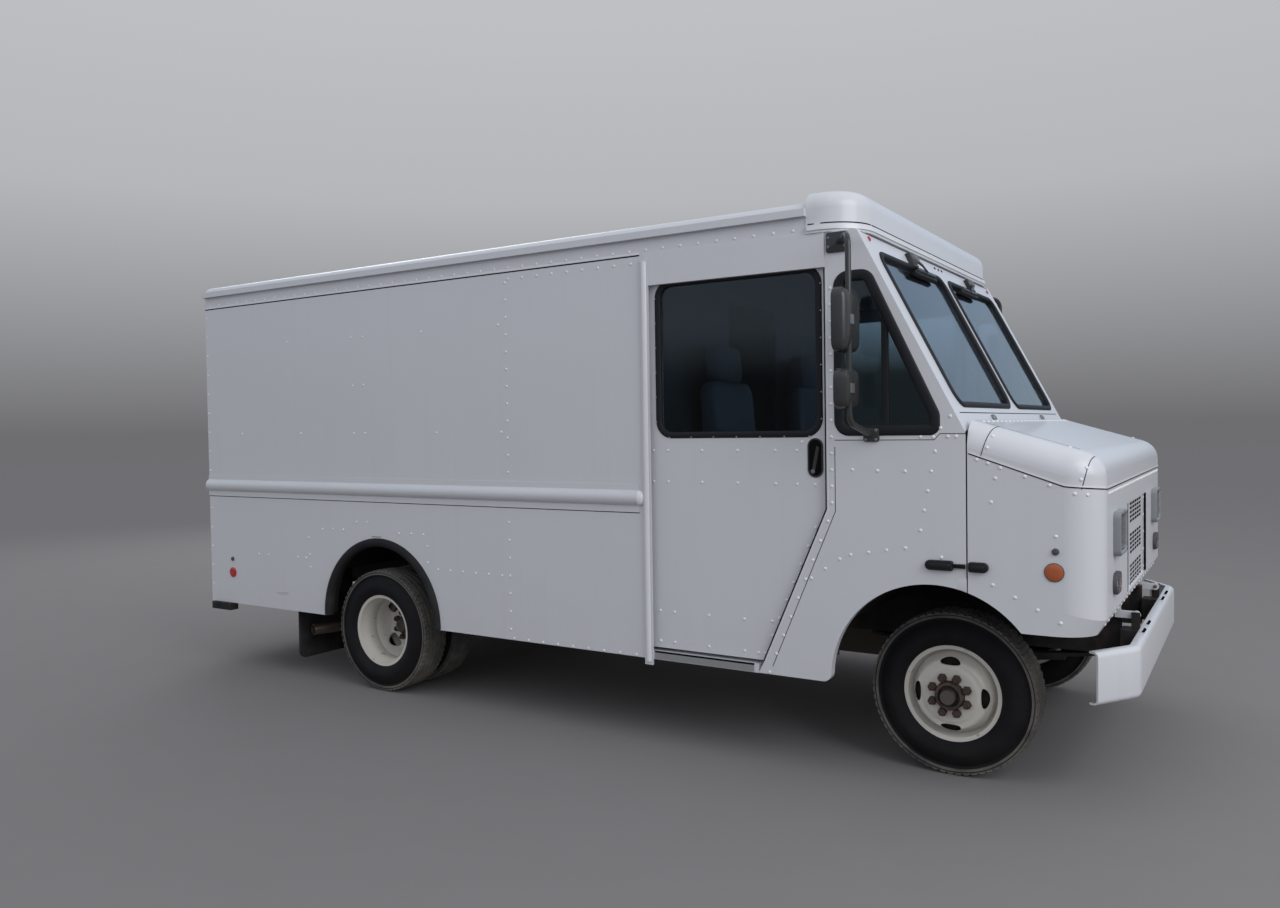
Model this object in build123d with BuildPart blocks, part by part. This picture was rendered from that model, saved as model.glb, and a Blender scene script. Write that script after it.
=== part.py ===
from build123d import *
import math
import os

os.makedirs("parts", exist_ok=True)

# A step van on a ladder frame, in millimetres: X forward, Y to the left, Z up from the ground.
# Stations along X are distances forward of the front axle, heights are above the ground.

# Chassis
wheelbase = 3378.0
front_overhang = 760.0
rear_overhang = 1762.0
rail_spread = 860.0
rail_height = 200.0
rail_flange = 64.0
rail_sheet = 7.0
rail_front = 640.0
crossmember_width = 80.0
beam_width = 70.0
beam_height = 84.0
beam_sheet = 20.0
axle_tube_radius = 55.0
shoulder_inset = 20.0
axle_housing_radius = 165.0
kingpin_spread = 1440.0
kingpin_radius = 18.0
knuckle_radius = 38.0
running_gap = 0.4
spindle_radius = 32.0
spring_width = 64.0
spring_leaf = 16.0
front_spring_length = 1080.0
rear_spring_length = 1340.0
rear_spring_y = 500.0

# Wheels and tyres
tyre_radius = 372.0
tyre_width = 223.0
rim_radius = 220.0
rim_half_width = 83.0
rim_sheet = 9.0
disc_offset = 127.0
disc_root = 23.0
king_offset = 108.0
rear_mount_y = 960.0
hub_radius = 72.0
front_hub_reach = 62.0
rear_hub_reach = 48.0
lug_circle = 165.1
lug_radius = 13.0
lug_height = 18.0
lug_count = 8
hand_hole_count = 4
hand_hole_length = 84.0
hand_hole_width = 30.0
hand_hole_circle = 152.0
hand_hole_turn = 45.0
drum_radius = 168.0

# Body shell
body_width = 2420.0
wall = 40.0
skin = 18.0
roof_sheet = 28.0
body_rear = -5022.0
skirt_z = 432.0
seam_z = 2450.0
eave_z = 2600.0
roof_rise = 45.0
roof_corner_radius = 60.0
cap_rear = -556.0
cap_plan_radius = 190.0
cap_edge_radius = 80.0
cap_proud = 6.0
cap_lip = 8.0
cap_lip_height = 32.0
floor_z = 760.0
floor_sheet = 40.0
deck_board = 12.0
deck_margin = 20.0
rear_arch = -3348.0
rear_arch_z = 447.0
rear_arch_radius = 494.0
front_arch_z = 450.0
front_arch_radius = 457.0
wheelhouse_gap = 18.0
wheelhouse_sheet = 16.0
rear_wheelhouse_y = 670.0
front_wheelhouse_y = 500.0
bulkhead = -1440.0
bulkhead_sheet = 30.0
bulkhead_doorway = 640.0
bulkhead_doorway_top = 2300.0

# Sliding cab doors
track = -1419.0
track_width = 46.0
track_low_z = 402.0
track_high_z = 2432.0
track_proud = 10.0
door_front = -470.0
door_knee_z = 1212.0
door_toe = -788.0
toe_rake = 30.0
door_low_z = 488.0
door_top_z = 2360.0
door_sheet = 34.0
door_gap = 8.0
door_lap = 24.0
door_travel = 900.0
header_low_z = 2296.0
header_proud = 8.0
sill_low_z = 431.0
sill_height = 40.0
sill_depth = 190.0
window_rear = -1378.0
window_front = -495.0
window_low_z = 1536.0
window_high_z = 2318.0
window_radius = 80.0
window_border = 26.0
glass_sheet = 6.0
glass_gap = 0.3
handle_front = -496.0
handle_width = 74.0
handle_low_z = 1357.0
handle_high_z = 1529.0
handle_proud = 3.0
shoe_length = 80.0
slide_gap = 0.3
shoe_inset = 6.0
door_rail_height = 32.0
step_rear = -1310.0
step_front = -560.0
step_depth = 300.0
step_sheet = 12.0

# Cab front
pillar_top = -316.0
pillar_top_z = 2438.0
pillar_slope = 0.516
screen_sheet = 35.0
panel_radius = 40.0
cowl_z = 1566.0
cowl_drop = 20.0
firewall = 141.0
firewall_low_z = 735.0
pane_low_z = 1660.0
pane_high_z = 2370.0
pane_inner_y = 40.0
pane_outer_y = 1085.0
pane_radius = 75.0
quarter_rear = -423.0
quarter_low_z = 1550.0
quarter_high_z = 2262.0
quarter_border = 22.0
quarter_radius = 60.0
engine_cover_width = 720.0
engine_cover_rear = -430.0
engine_cover_z = 1180.0
engine_cover_sheet = 14.0

# Tilting nose
nose_gap = 6.0
nose_front = 660.0
valance_z = 796.0
valance_set = 34.0
nose_low_z = 734.0
nose_sheet = 24.0
nose_corner_radius = 140.0
hood_rear_z = 1604.0
hood_front_z = 1448.0
hood_front_radius = 110.0
nose_hinge = 700.0
nose_hinge_z = 712.0
hinge_pin_radius = 8.0
hinge_eye_radius = 18.0
hinge_arm = 16.0
hinge_arm_y = 448.0
hinge_lug = 12.0
grille_width = 790.0
grille_panel_width = 750.0
grille_low_z = 803.0
grille_high_z = 1213.0
grille_sheet = 6.0
grille_inset = 14.0
grille_window_count = 3
grille_window_pitch = 148.0
grille_columns = 5
grille_rows = 5
grille_pitch_y = 97.0
grille_pitch_z = 20.4
grille_post = 12.0
grille_bar = 6.4
lamp_y = 790.0
lamp_z = 1120.0
lamp_width = 226.0
lamp_height = 186.0
lamp_radius = 26.0
lamp_proud = 18.0
bezel_border = 16.0
bezel_proud = 30.0
turn_y = 840.0
turn_z = 912.0
turn_width = 160.0
turn_height = 84.0
latch_z = 993.0
latch_rear = -45.0
latch_front = 226.0
latch_height = 46.0
latch_proud = 22.0

# Bumpers, rails and fittings
bumper_low_z = 440.0
bumper_height = 218.0
bumper_width = 2160.0
bumper_sheet = 9.0
bumper_flange = 66.0
bumper_tip = 626.0
bumper_wing = 210.0
bumper_bend = 110.0
rear_bumper_low_z = 385.0
rear_bumper_height = 96.0
rear_bumper_front = -4779.0
rear_step_width = 2180.0
rear_step_tread = 6.0
rear_bumper_end = 30.0
rub_low_z = 1165.0
rub_high_z = 1308.0
rub_bulge_low_z = 1199.0
rub_bulge_high_z = 1277.0
rub_flange = 4.0
rub_proud = 30.0
rub_front = -1468.0
drip_low_z = 2530.0
drip_height = 34.0
drip_proud = 26.0
flare_width = 55.0
flare_proud = 30.0
mudflap = -4150.0
mudflap_low_z = 110.0
mudflap_inner_y = 720.0
mudflap_sheet = 10.0
mudflap_radius = 90.0

# Places worked out from the sizes above
half_width = body_width / 2
roof_top = eave_z + roof_rise
front_tyre_y = kingpin_spread / 2 + king_offset
front_x = (wheelbase + rear_overhang - front_overhang) / 2
rear_x = front_x - wheelbase
rail_top = floor_z - floor_sheet
rail_low = rail_top - rail_height
rail_y = rail_spread / 2
wall_inner = half_width - wall
door_outer = half_width - skin - door_gap
door_inner = door_outer - door_sheet
cabin_half = door_inner - door_gap
pocket_rear = track - door_lap - door_travel - 30.0
screen_depth = screen_sheet * math.hypot(1.0, pillar_slope)
side_plane = Plane.XZ.offset(half_width)
wheel_axis_rear = Axis((rear_x, 0, tyre_radius), (0, 1, 0))


def at(station):
    """X of a station given forward of the front axle."""
    return front_x + station


def screen_x(z):
    """X of the windshield's outer plane at height z."""
    return at(pillar_top + (pillar_top_z - z) * pillar_slope)


def block(low, high):
    """A box between two opposite corners, as a free part."""
    size = [abs(b - a) for a, b in zip(low, high)]
    middle = [(a + b) / 2 for a, b in zip(low, high)]
    return Pos(*middle) * Box(*size, mode=Mode.PRIVATE)


# Ladder frame: two channel rails open inwards, joined by crossmembers
crossmember_stations = (-4850, -3900, -2850, -1900, -620, -100, 500)
with BuildPart() as frame_rails:
    with BuildSketch(Plane.YZ.offset(at(body_rear) + wall)):
        with Locations((-rail_y + rail_flange / 2, rail_top - rail_height / 2)):
            Rectangle(rail_flange, rail_height)
        with Locations((-rail_y + rail_sheet + rail_flange / 2, rail_top - rail_height / 2)):
            Rectangle(rail_flange, rail_height - 2 * rail_sheet, mode=Mode.SUBTRACT)
    extrude(amount=rail_front - body_rear - wall)
    mirror(about=Plane.XZ)
    for station in crossmember_stations:
        with Locations((at(station), 0, rail_low + 20)):
            Box(crossmember_width, rail_spread - 2 * rail_sheet, 40)

# Front axle: a forged beam of I section with an eye for each kingpin
beam_top = tyre_radius + beam_height / 2 + 16
with BuildPart() as front_axle:
    with BuildSketch(Plane.XZ.offset(-kingpin_spread / 2 + knuckle_radius)):
        with Locations((front_x, beam_top - beam_height / 2)):
            Rectangle(beam_width, beam_height)
            with Locations((beam_width / 2, 0), (-beam_width / 2, 0)):
                Rectangle(beam_width - beam_sheet, beam_height - 2 * beam_sheet, mode=Mode.SUBTRACT)
    extrude(amount=kingpin_spread - 2 * knuckle_radius)
    with Locations((front_x, -kingpin_spread / 2, tyre_radius), (front_x, kingpin_spread / 2, tyre_radius)):
        Cylinder(knuckle_radius + 4, 2 * (beam_top - tyre_radius))
        Cylinder(kingpin_radius + running_gap, 3 * beam_height, mode=Mode.SUBTRACT)

# Rear axle: housing with its differential, tubes and spindles, and the drive shaft in front of it
axle_shoulder = rear_mount_y - disc_offset - rim_half_width + shoulder_inset
gearbox_rear = -1080.0
drive_shaft_end = at(gearbox_rear)
with BuildPart() as rear_axle:
    with BuildSketch(Plane.XY.offset(tyre_radius)):
        with BuildLine():
            Polyline(
                (rear_x, -rear_mount_y - rear_hub_reach),
                (rear_x + spindle_radius, -rear_mount_y - rear_hub_reach),
                (rear_x + spindle_radius, -axle_shoulder),
                (rear_x + axle_tube_radius, -axle_shoulder),
                (rear_x + axle_tube_radius, -axle_housing_radius - 40),
                (rear_x + axle_housing_radius, -90),
                (rear_x + axle_housing_radius, 90),
                (rear_x + axle_tube_radius, axle_housing_radius + 40),
                (rear_x + axle_tube_radius, axle_shoulder),
                (rear_x + spindle_radius, axle_shoulder),
                (rear_x + spindle_radius, rear_mount_y + rear_hub_reach),
                (rear_x, rear_mount_y + rear_hub_reach),
                close=True,
            )
        make_face()
    revolve(axis=wheel_axis_rear)
    with BuildSketch(Plane.YZ.offset(rear_x)):
        with Locations((0, tyre_radius)):
            Circle(45)
    extrude(amount=axle_housing_radius + 120)
    with BuildSketch(Plane.YZ.offset(rear_x + axle_housing_radius + 100)):
        with Locations((0, tyre_radius)):
            Circle(36)
    extrude(amount=drive_shaft_end - rear_x - axle_housing_radius - 100)

# Leaf springs: four packs of three stacked leaves, shackled to the rails
rear_spring_seat = tyre_radius + axle_tube_radius
rear_spring_lift = 70.0


def spring_pack(x, y, seat, length, lift):
    """Three leaves, each shorter than the one above, bent up by lift at the ends."""
    with BuildPart() as pack:
        for leaf in range(3):
            half = length / 2 * (1 - 0.27 * (2 - leaf))
            low = seat + leaf * spring_leaf
            bend = lift * (half / (length / 2)) ** 2
            with BuildSketch(Plane.XZ.offset(-y + spring_width / 2)):
                with BuildLine():
                    ThreePointArc((x - half, low + bend), (x, low), (x + half, low + bend))
                    Line((x + half, low + bend), (x + half, low + bend + spring_leaf))
                    ThreePointArc(
                        (x + half, low + bend + spring_leaf), (x, low + spring_leaf), (x - half, low + bend + spring_leaf)
                    )
                    Line((x - half, low + bend + spring_leaf), (x - half, low + bend))
                make_face()
            extrude(amount=-spring_width)
    return pack.part


front_spring_y = rail_y - spring_width / 2
front_spring_lift = rail_low - beam_top - 3 * spring_leaf
rear_hanger_low = rear_spring_seat + 3 * spring_leaf + rear_spring_lift
with BuildPart() as leaf_springs:
    add(spring_pack(front_x, -front_spring_y, beam_top, front_spring_length, front_spring_lift))
    add(spring_pack(rear_x, -rear_spring_y, rear_spring_seat, rear_spring_length, rear_spring_lift))
    for end in (-1, 1):
        hanger_x = rear_x + end * (rear_spring_length / 2 - 30)
        add(block(
            (hanger_x - 28, -rear_spring_y - spring_width / 2, rear_hanger_low - spring_leaf - 6),
            (hanger_x + 28, -rail_y, rear_hanger_low + 50),
        ))
    mirror(about=Plane.XZ)

# Engine: one plain block on its crossmember, as heavy as the real one
engine_rear = -380.0
engine_front = 420.0
engine_half_width = 290.0
engine_top = 1100.0
bell_rear = -500.0
bell_half_width = 190.0
bell_top = 700.0
gearbox_half_width = 130.0
gearbox_low = 320.0
with BuildPart() as engine_block:
    add(block(
        (at(engine_rear), -engine_half_width, rail_low + 40), (at(engine_front), engine_half_width, engine_top)
    ))
    chamfer(engine_block.edges().filter_by(Axis.X).group_by(Axis.Z)[-1], 90)
    add(block(
        (at(bell_rear), -bell_half_width, gearbox_low), (at(engine_rear) + 1, bell_half_width, bell_top)
    ))
    add(block(
        (at(gearbox_rear), -gearbox_half_width, gearbox_low), (at(bell_rear) + 1, gearbox_half_width, rail_low)
    ))

# Radiator: core between two side tanks, standing on the rails
radiator_rear = 520.0
radiator_depth = 60.0
radiator_top = 1240.0
radiator_tank = 90.0
radiator_rim = 60.0
with BuildPart() as radiator:
    add(block((at(radiator_rear), -rail_y, rail_top), (at(radiator_rear) + radiator_depth, rail_y, radiator_top)))
    with Locations((at(radiator_rear) + radiator_depth, 0, (rail_top + radiator_top) / 2)):
        Box(24, rail_spread - 2 * radiator_tank, radiator_top - rail_top - 2 * radiator_rim, mode=Mode.SUBTRACT)

# Fuel tank beside the left rail
tank_rear = -2560.0
tank_length = 820.0
tank_width = 330.0
tank_height = 270.0
with BuildPart() as fuel_tank:
    add(block(
        (at(tank_rear), rail_y, rail_top - 20 - tank_height), (at(tank_rear) + tank_length, rail_y + tank_width, rail_top - 20)
    ))
    fillet(fuel_tank.edges().filter_by(Axis.X), 45)

# Exhaust: silencer, and a tailpipe that turns out between the right rear wheels and the mudflap
silencer_y = -610.0
silencer_z = 520.0
silencer_front = -1940.0
silencer_rear = -2700.0
silencer_width = 220.0
silencer_height = 150.0
pipe_radius = 36.0
pipe_bore = 32.0
pipe_bore_depth = 60.0
pipe_bend = 90.0
pipe_crest = -3800.0
pipe_drop = -3930.0
pipe_drop_y = -660.0
tail_station = -4080.0
tail_y = -1120.0
tail_z = 300.0
hanger_width = 40.0
hanger_sheet = 24.0
hanger_stations = (-2400.0, -3150.0)
tail_run = Vector(at(tail_station) - at(pipe_drop), tail_y - pipe_drop_y, 0).normalized()
with BuildPart() as exhaust:
    with BuildLine():
        FilletPolyline(
            (at(silencer_rear), silencer_y, silencer_z),
            (at(pipe_crest), silencer_y, silencer_z),
            (at(pipe_drop), pipe_drop_y, tail_z),
            (at(tail_station), tail_y, tail_z),
            radius=pipe_bend,
        )
    with BuildSketch(Plane((at(silencer_rear), silencer_y, silencer_z), x_dir=(0, 1, 0), z_dir=(-1, 0, 0))):
        Circle(pipe_radius)
    sweep()
    with BuildSketch(Plane((at(tail_station), tail_y, tail_z), z_dir=tail_run)):
        Circle(pipe_bore)
    extrude(amount=-pipe_bore_depth, mode=Mode.SUBTRACT)
    with BuildSketch(Plane.YZ.offset(at(silencer_rear))):
        with Locations((silencer_y, silencer_z)):
            SlotOverall(silencer_width, silencer_height)
    extrude(amount=silencer_front - silencer_rear)
    for station in hanger_stations:
        add(block(
            (at(station), silencer_y, silencer_z + pipe_radius - hanger_sheet),
            (at(station) + hanger_width, -rail_y, silencer_z + pipe_radius),
        ))


# Tyres: one turned ring each, square at the shoulders
def tyre(x, y):
    """A tyre centred at (x, y), standing on the ground."""
    half = tyre_width / 2
    with BuildPart() as ring:
        with BuildSketch(Plane.YZ.offset(x)):
            with BuildLine():
                Polyline(
                    (y - half, tyre_radius + rim_radius),
                    (y + half, tyre_radius + rim_radius),
                    (y + half, 2 * tyre_radius),
                    (y - half, 2 * tyre_radius),
                    close=True,
                )
            make_face()
        revolve(axis=Axis((x, 0, tyre_radius), (0, 1, 0)))
    return ring.part


def rim(x, y, face_y):
    """A rim centred at y whose disc is bolted up at face_y, given on the right side."""
    turn = 1.0 if face_y > y else -1.0
    inner = rim_radius - rim_sheet
    outer = rim_radius - slide_gap
    root = y + turn * (rim_half_width - disc_root)
    seat = lug_circle / 2 + 26
    barrel = (
        (y - rim_half_width, inner), (y - rim_half_width, outer), (y + rim_half_width, outer), (y + rim_half_width, inner)
    )
    disc = (
        (root, inner + 1),
        (face_y, seat),
        (face_y, spindle_radius + 6),
        (face_y - turn * rim_sheet, spindle_radius + 6),
        (face_y - turn * rim_sheet, seat),
        (root - turn * 2 * rim_sheet, inner + 1),
    )
    with BuildPart() as turned:
        with BuildSketch(Plane.YZ.offset(x)):
            for outline in (barrel, disc):
                with BuildLine():
                    Polyline(*[(across, tyre_radius + r) for across, r in outline], close=True)
                make_face()
        revolve(axis=Axis((x, 0, tyre_radius), (0, 1, 0)))
        with BuildSketch(Plane.XZ.offset(-y - tyre_width)):
            with Locations((x, tyre_radius)):
                with PolarLocations(hand_hole_circle, hand_hole_count, start_angle=hand_hole_turn):
                    SlotOverall(hand_hole_length, hand_hole_width, rotation=90)
        extrude(amount=2 * tyre_width, mode=Mode.SUBTRACT)
    return turned.part


def hub(x, inner_y, outer_y, radius):
    """A hub barrel round a spindle, closed by its cap on the outer side."""
    with BuildPart() as barrel:
        with BuildSketch(Plane.XZ.offset(inner_y)):
            with Locations((x, tyre_radius)):
                Circle(radius)
        extrude(amount=outer_y - inner_y)
        with BuildSketch(Plane.XZ.offset(inner_y)):
            with Locations((x, tyre_radius)):
                Circle(spindle_radius + running_gap)
        extrude(amount=outer_y - inner_y - 12, mode=Mode.SUBTRACT)
    return barrel.part


def lugs(x, face_y, reach):
    """The ring of wheel nuts that stands out of the disc at face_y on the right side."""
    with BuildPart() as nuts:
        with BuildSketch(Plane.XZ.offset(face_y)):
            with Locations((x, tyre_radius)):
                with PolarLocations(lug_circle / 2, lug_count, start_angle=22.5):
                    RegularPolygon(lug_radius, 6)
        extrude(amount=reach)
    return nuts.part


front_face = front_tyre_y + disc_offset
with BuildPart() as front_tyre_right:
    add(tyre(front_x, -front_tyre_y))
with BuildPart() as front_tyre_left:
    mirror(front_tyre_right.part, about=Plane.XZ)
with BuildPart() as front_rim_right:
    add(rim(front_x, -front_tyre_y, -front_face))
    add(hub(front_x, front_face - 110, front_face + front_hub_reach, hub_radius))
    add(lugs(front_x, front_face - 1, lug_height))
with BuildPart() as front_rim_left:
    mirror(front_rim_right.part, about=Plane.XZ)

rear_tyre_y = [rear_mount_y + disc_offset, rear_mount_y - disc_offset]
with BuildPart() as rear_tyres_right:
    for y in rear_tyre_y:
        add(tyre(rear_x, -y))
with BuildPart() as rear_tyres_left:
    mirror(rear_tyres_right.part, about=Plane.XZ)
with BuildPart() as rear_rims_right:
    add(rim(rear_x, -rear_tyre_y[0], -rear_mount_y))
    add(rim(rear_x, -rear_tyre_y[1], -rear_mount_y))
    add(hub(rear_x, axle_shoulder + running_gap, rear_mount_y + rear_hub_reach + 20, hub_radius))
    add(lugs(rear_x, rear_mount_y, lug_height + rim_sheet))
    with BuildSketch(Plane.XZ.offset(axle_shoulder + running_gap)):
        with Locations((rear_x, tyre_radius)):
            Circle(drum_radius)
            Circle(hub_radius - 10, mode=Mode.SUBTRACT)
    extrude(amount=rear_mount_y - axle_shoulder - running_gap - rim_sheet)
with BuildPart() as rear_rims_left:
    mirror(rear_rims_right.part, about=Plane.XZ)

# Steering knuckles: fork round the axle's eye, kingpin, spindle and steering arm
eye_half = beam_top - tyre_radius
fork = 26.0
with BuildPart() as knuckle_right:
    for z in (tyre_radius + eye_half + running_gap + fork / 2, tyre_radius - eye_half - running_gap - fork / 2):
        with Locations((front_x, -kingpin_spread / 2, z)):
            Cylinder(knuckle_radius, fork)
        with Locations((front_x, -kingpin_spread / 2 - 30, z)):
            Box(2 * knuckle_radius, 60, fork)
    with Locations((front_x, -kingpin_spread / 2, tyre_radius)):
        Cylinder(kingpin_radius, 2 * (eye_half + fork))
    with Locations((front_x, -kingpin_spread / 2 - knuckle_radius - 14 - 10, tyre_radius)):
        Box(2 * knuckle_radius, 28, 2 * (eye_half + running_gap + fork))
    with BuildSketch(Plane.XZ.offset(kingpin_spread / 2 + knuckle_radius + 20)):
        with Locations((front_x, tyre_radius)):
            Circle(spindle_radius)
    extrude(amount=front_face + front_hub_reach - 20 - kingpin_spread / 2 - knuckle_radius - 20)
    with Locations((front_x - 110, -kingpin_spread / 2 + 20, tyre_radius - eye_half - running_gap - fork / 2)):
        Box(180, 36, fork)
with BuildPart() as knuckle_left:
    mirror(knuckle_right.part, about=Plane.XZ)

# Side walls: from the rear corner to the door track, with the arch and the pocket for the door
with BuildPart() as side_walls:
    with BuildSketch(side_plane):
        with BuildLine():
            Polyline(
                (at(body_rear), skirt_z), (at(track), skirt_z), (at(track), seam_z), (at(body_rear), seam_z), close=True
            )
        make_face()
        with Locations((at(rear_arch), rear_arch_z)):
            Circle(rear_arch_radius, mode=Mode.SUBTRACT)
    extrude(amount=-wall)
    with BuildSketch(Plane.XZ.offset(half_width - skin)):
        with BuildLine():
            Polyline(
                (at(pocket_rear), door_low_z - door_gap),
                (at(track) + 1, door_low_z - door_gap),
                (at(track) + 1, door_top_z + door_gap),
                (at(pocket_rear), door_top_z + door_gap),
                close=True,
            )
        make_face()
    extrude(amount=-wall, mode=Mode.SUBTRACT)
    mirror(about=Plane.XZ)


# Roof: a crowned sheet with rounded eaves, closed at the rear
def roof_section(plane, half, low, eave, top, radius):
    """The area under a crowned roof line, between the two walls."""
    with BuildSketch(plane) as section:
        with BuildLine():
            Line((-half, eave), (-half, low))
            Line((-half, low), (half, low))
            Line((half, low), (half, eave))
            ThreePointArc((half, eave), (0, top), (-half, eave))
        make_face()
        fillet(section.vertices().sort_by(Axis.Y)[-2:], radius)
    return section.sketch


with BuildPart() as roof_panel:
    outer_roof = roof_section(
        Plane.YZ.offset(at(body_rear)), half_width, seam_z, eave_z, roof_top, roof_corner_radius
    )
    extrude(outer_roof, amount=cap_rear - body_rear)
    inner_roof = roof_section(
        Plane.YZ.offset(at(body_rear) + wall),
        half_width - roof_sheet,
        seam_z,
        eave_z - roof_sheet,
        roof_top - roof_sheet,
        roof_corner_radius - roof_sheet / 2,
    )
    extrude(inner_roof, amount=cap_rear - body_rear - wall, mode=Mode.SUBTRACT)


# Moulded roof cap over the windshield
def cap_solid(inset):
    """The cap's outer form, made smaller all round by inset."""
    half = half_width + cap_proud - inset
    with BuildPart() as cap:
        with BuildSketch(Plane.XY.offset(seam_z - 1 if inset > 0 else seam_z)):
            with BuildLine():
                Polyline(
                    (at(cap_rear), -half),
                    (screen_x(seam_z) + cap_proud - inset, -half),
                    (screen_x(seam_z) + cap_proud - inset, half),
                    (at(cap_rear), half),
                    close=True,
                )
            make_face()
        extrude(amount=roof_top - seam_z - inset + (1 if inset > 0 else 0))
        fillet(cap.edges().filter_by(Axis.Z).group_by(Axis.X)[-1], cap_plan_radius - inset)
        fillet(
            cap.faces().sort_by(Axis.Z)[-1].edges().sort_by(Axis.X)[1:], cap_edge_radius - inset / 2
        )
    return cap.part


with BuildPart() as roof_cap:
    add(cap_solid(-cap_lip))
    split(bisect_by=Plane.XY.offset(seam_z + cap_lip_height), keep=Keep.BOTTOM)
    add(cap_solid(0))
    add(cap_solid(roof_sheet), mode=Mode.SUBTRACT)

# Rear frame with the double doorway, between the walls
rear_door_width = 1460.0
rear_door_high_z = 2330.0
rear_door_low_z = 780.0
rear_door_gap = 6.0
rear_meeting_gap = 10.0
rear_hinge_proud = 14.0
rear_hinge_radius = 9.0
rear_hinge_pin = 4.0
rear_hinge_ear = 15.0
rear_hinge_leaf = 34.0
hinge_half = 30.0
rear_hinge_inset = 220.0
rear_hinge_x = at(body_rear) - rear_hinge_proud
rear_hinge_y = rear_door_width / 2 - rear_door_gap / 2
rear_hinge_heights = (
    rear_door_low_z + rear_hinge_inset,
    (rear_door_low_z + rear_door_high_z) / 2,
    rear_door_high_z - rear_hinge_inset,
)
with BuildPart() as rear_frame:
    with BuildSketch(Plane.YZ.offset(at(body_rear))):
        with BuildLine():
            Polyline(
                (-wall_inner, rear_bumper_low_z + rear_bumper_height),
                (wall_inner, rear_bumper_low_z + rear_bumper_height),
                (wall_inner, seam_z),
                (-wall_inner, seam_z),
                close=True,
            )
        make_face()
        with Locations((0, (rear_door_low_z + rear_door_high_z) / 2)):
            Rectangle(rear_door_width, rear_door_high_z - rear_door_low_z, mode=Mode.SUBTRACT)
    extrude(amount=wall)
    for z in rear_hinge_heights:
        for side in (-1, 1):
            with Locations((rear_hinge_x, side * rear_hinge_y, z)):
                Cylinder(rear_hinge_pin, 2 * (hinge_half + rear_hinge_ear))
            for end in (-1, 1):
                ear_z = z + end * (hinge_half + rear_hinge_ear / 2 + slide_gap)
                with Locations((rear_hinge_x, side * rear_hinge_y, ear_z)):
                    Cylinder(rear_hinge_radius, rear_hinge_ear)
                with Locations(((rear_hinge_x + at(body_rear)) / 2, side * (rear_hinge_y + rear_hinge_leaf / 2), ear_z)):
                    Box(rear_hinge_proud, rear_hinge_leaf, rear_hinge_ear)

# Rear doors: a pair hinged at the frame's edges, each with a window
rear_leaf_inner = rear_meeting_gap / 2
rear_leaf_outer = rear_door_width / 2 - rear_door_gap
rear_window_width = 440.0
rear_window_height = 520.0
rear_window_z = 1880.0
rear_handle_z = 1405.0
rear_handle_y = 40.0
rear_handle_width = 30.0
rear_handle_height = 150.0
rear_handle_proud = 40.0
leaf_middle = (rear_leaf_inner + rear_leaf_outer) / 2
with BuildPart() as rear_door_right:
    with BuildSketch(Plane.YZ.offset(at(body_rear))):
        with Locations((-leaf_middle, (rear_door_low_z + rear_door_high_z) / 2)):
            Rectangle(rear_leaf_outer - rear_leaf_inner, rear_door_high_z - rear_door_low_z - 2 * rear_door_gap)
        with Locations((-leaf_middle, rear_window_z)):
            RectangleRounded(rear_window_width, rear_window_height, window_radius, mode=Mode.SUBTRACT)
    extrude(amount=door_sheet)
    for z in rear_hinge_heights:
        with Locations((rear_hinge_x, -rear_hinge_y, z)):
            Cylinder(rear_hinge_radius, 2 * hinge_half)
        add(block(
            (rear_hinge_x - rear_hinge_pin, -rear_hinge_y, z - hinge_half),
            (at(body_rear) + 1, -rear_hinge_y + 2 * rear_hinge_leaf, z + hinge_half),
        ))
        with Locations((rear_hinge_x, -rear_hinge_y, z)):
            Cylinder(rear_hinge_pin + running_gap, 2 * hinge_half, mode=Mode.SUBTRACT)
    add(block(
        (at(body_rear) - rear_handle_proud, -rear_handle_y - rear_handle_width, rear_handle_z - rear_handle_height / 2),
        (at(body_rear) + 1, -rear_handle_y, rear_handle_z + rear_handle_height / 2),
    ))
with BuildPart() as rear_door_left:
    mirror(rear_door_right.part, about=Plane.XZ)
with BuildPart() as rear_glass_right:
    with BuildSketch(Plane.YZ.offset(at(body_rear) + door_sheet / 2)):
        with Locations((-leaf_middle, rear_window_z)):
            RectangleRounded(
                rear_window_width - 2 * glass_gap, rear_window_height - 2 * glass_gap, window_radius - glass_gap
            )
    extrude(amount=glass_sheet)
with BuildPart() as rear_glass_left:
    mirror(rear_glass_right.part, about=Plane.XZ)

# Floor: wheelhouses, step wells and engine cover, and the deck that lies between them
arch_outer_rear = rear_arch_radius + wheelhouse_gap
arch_outer_front = front_arch_radius + 4
firewall_back = at(firewall) - screen_sheet


def wheelhouse(x, z, radius, inner_y, outer_y):
    """The upper half of a drum over the wheels on the right side, hollow below."""
    with BuildPart() as house:
        with BuildSketch(Plane.XZ.offset(inner_y)):
            with Locations((x, z)):
                Circle(radius + wheelhouse_sheet)
            with Locations((x, 0)):
                Rectangle(4 * radius, 2 * rail_top, mode=Mode.SUBTRACT)
        extrude(amount=outer_y - inner_y)
    return house.part


def wheel_space(x, z, radius, inner_y, outer_y):
    """The space under a wheelhouse on the right side."""
    with BuildPart() as space:
        with BuildSketch(Plane.XZ.offset(inner_y)):
            with Locations((x, z)):
                Circle(radius)
        extrude(amount=outer_y - inner_y)
    return space.part


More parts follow.
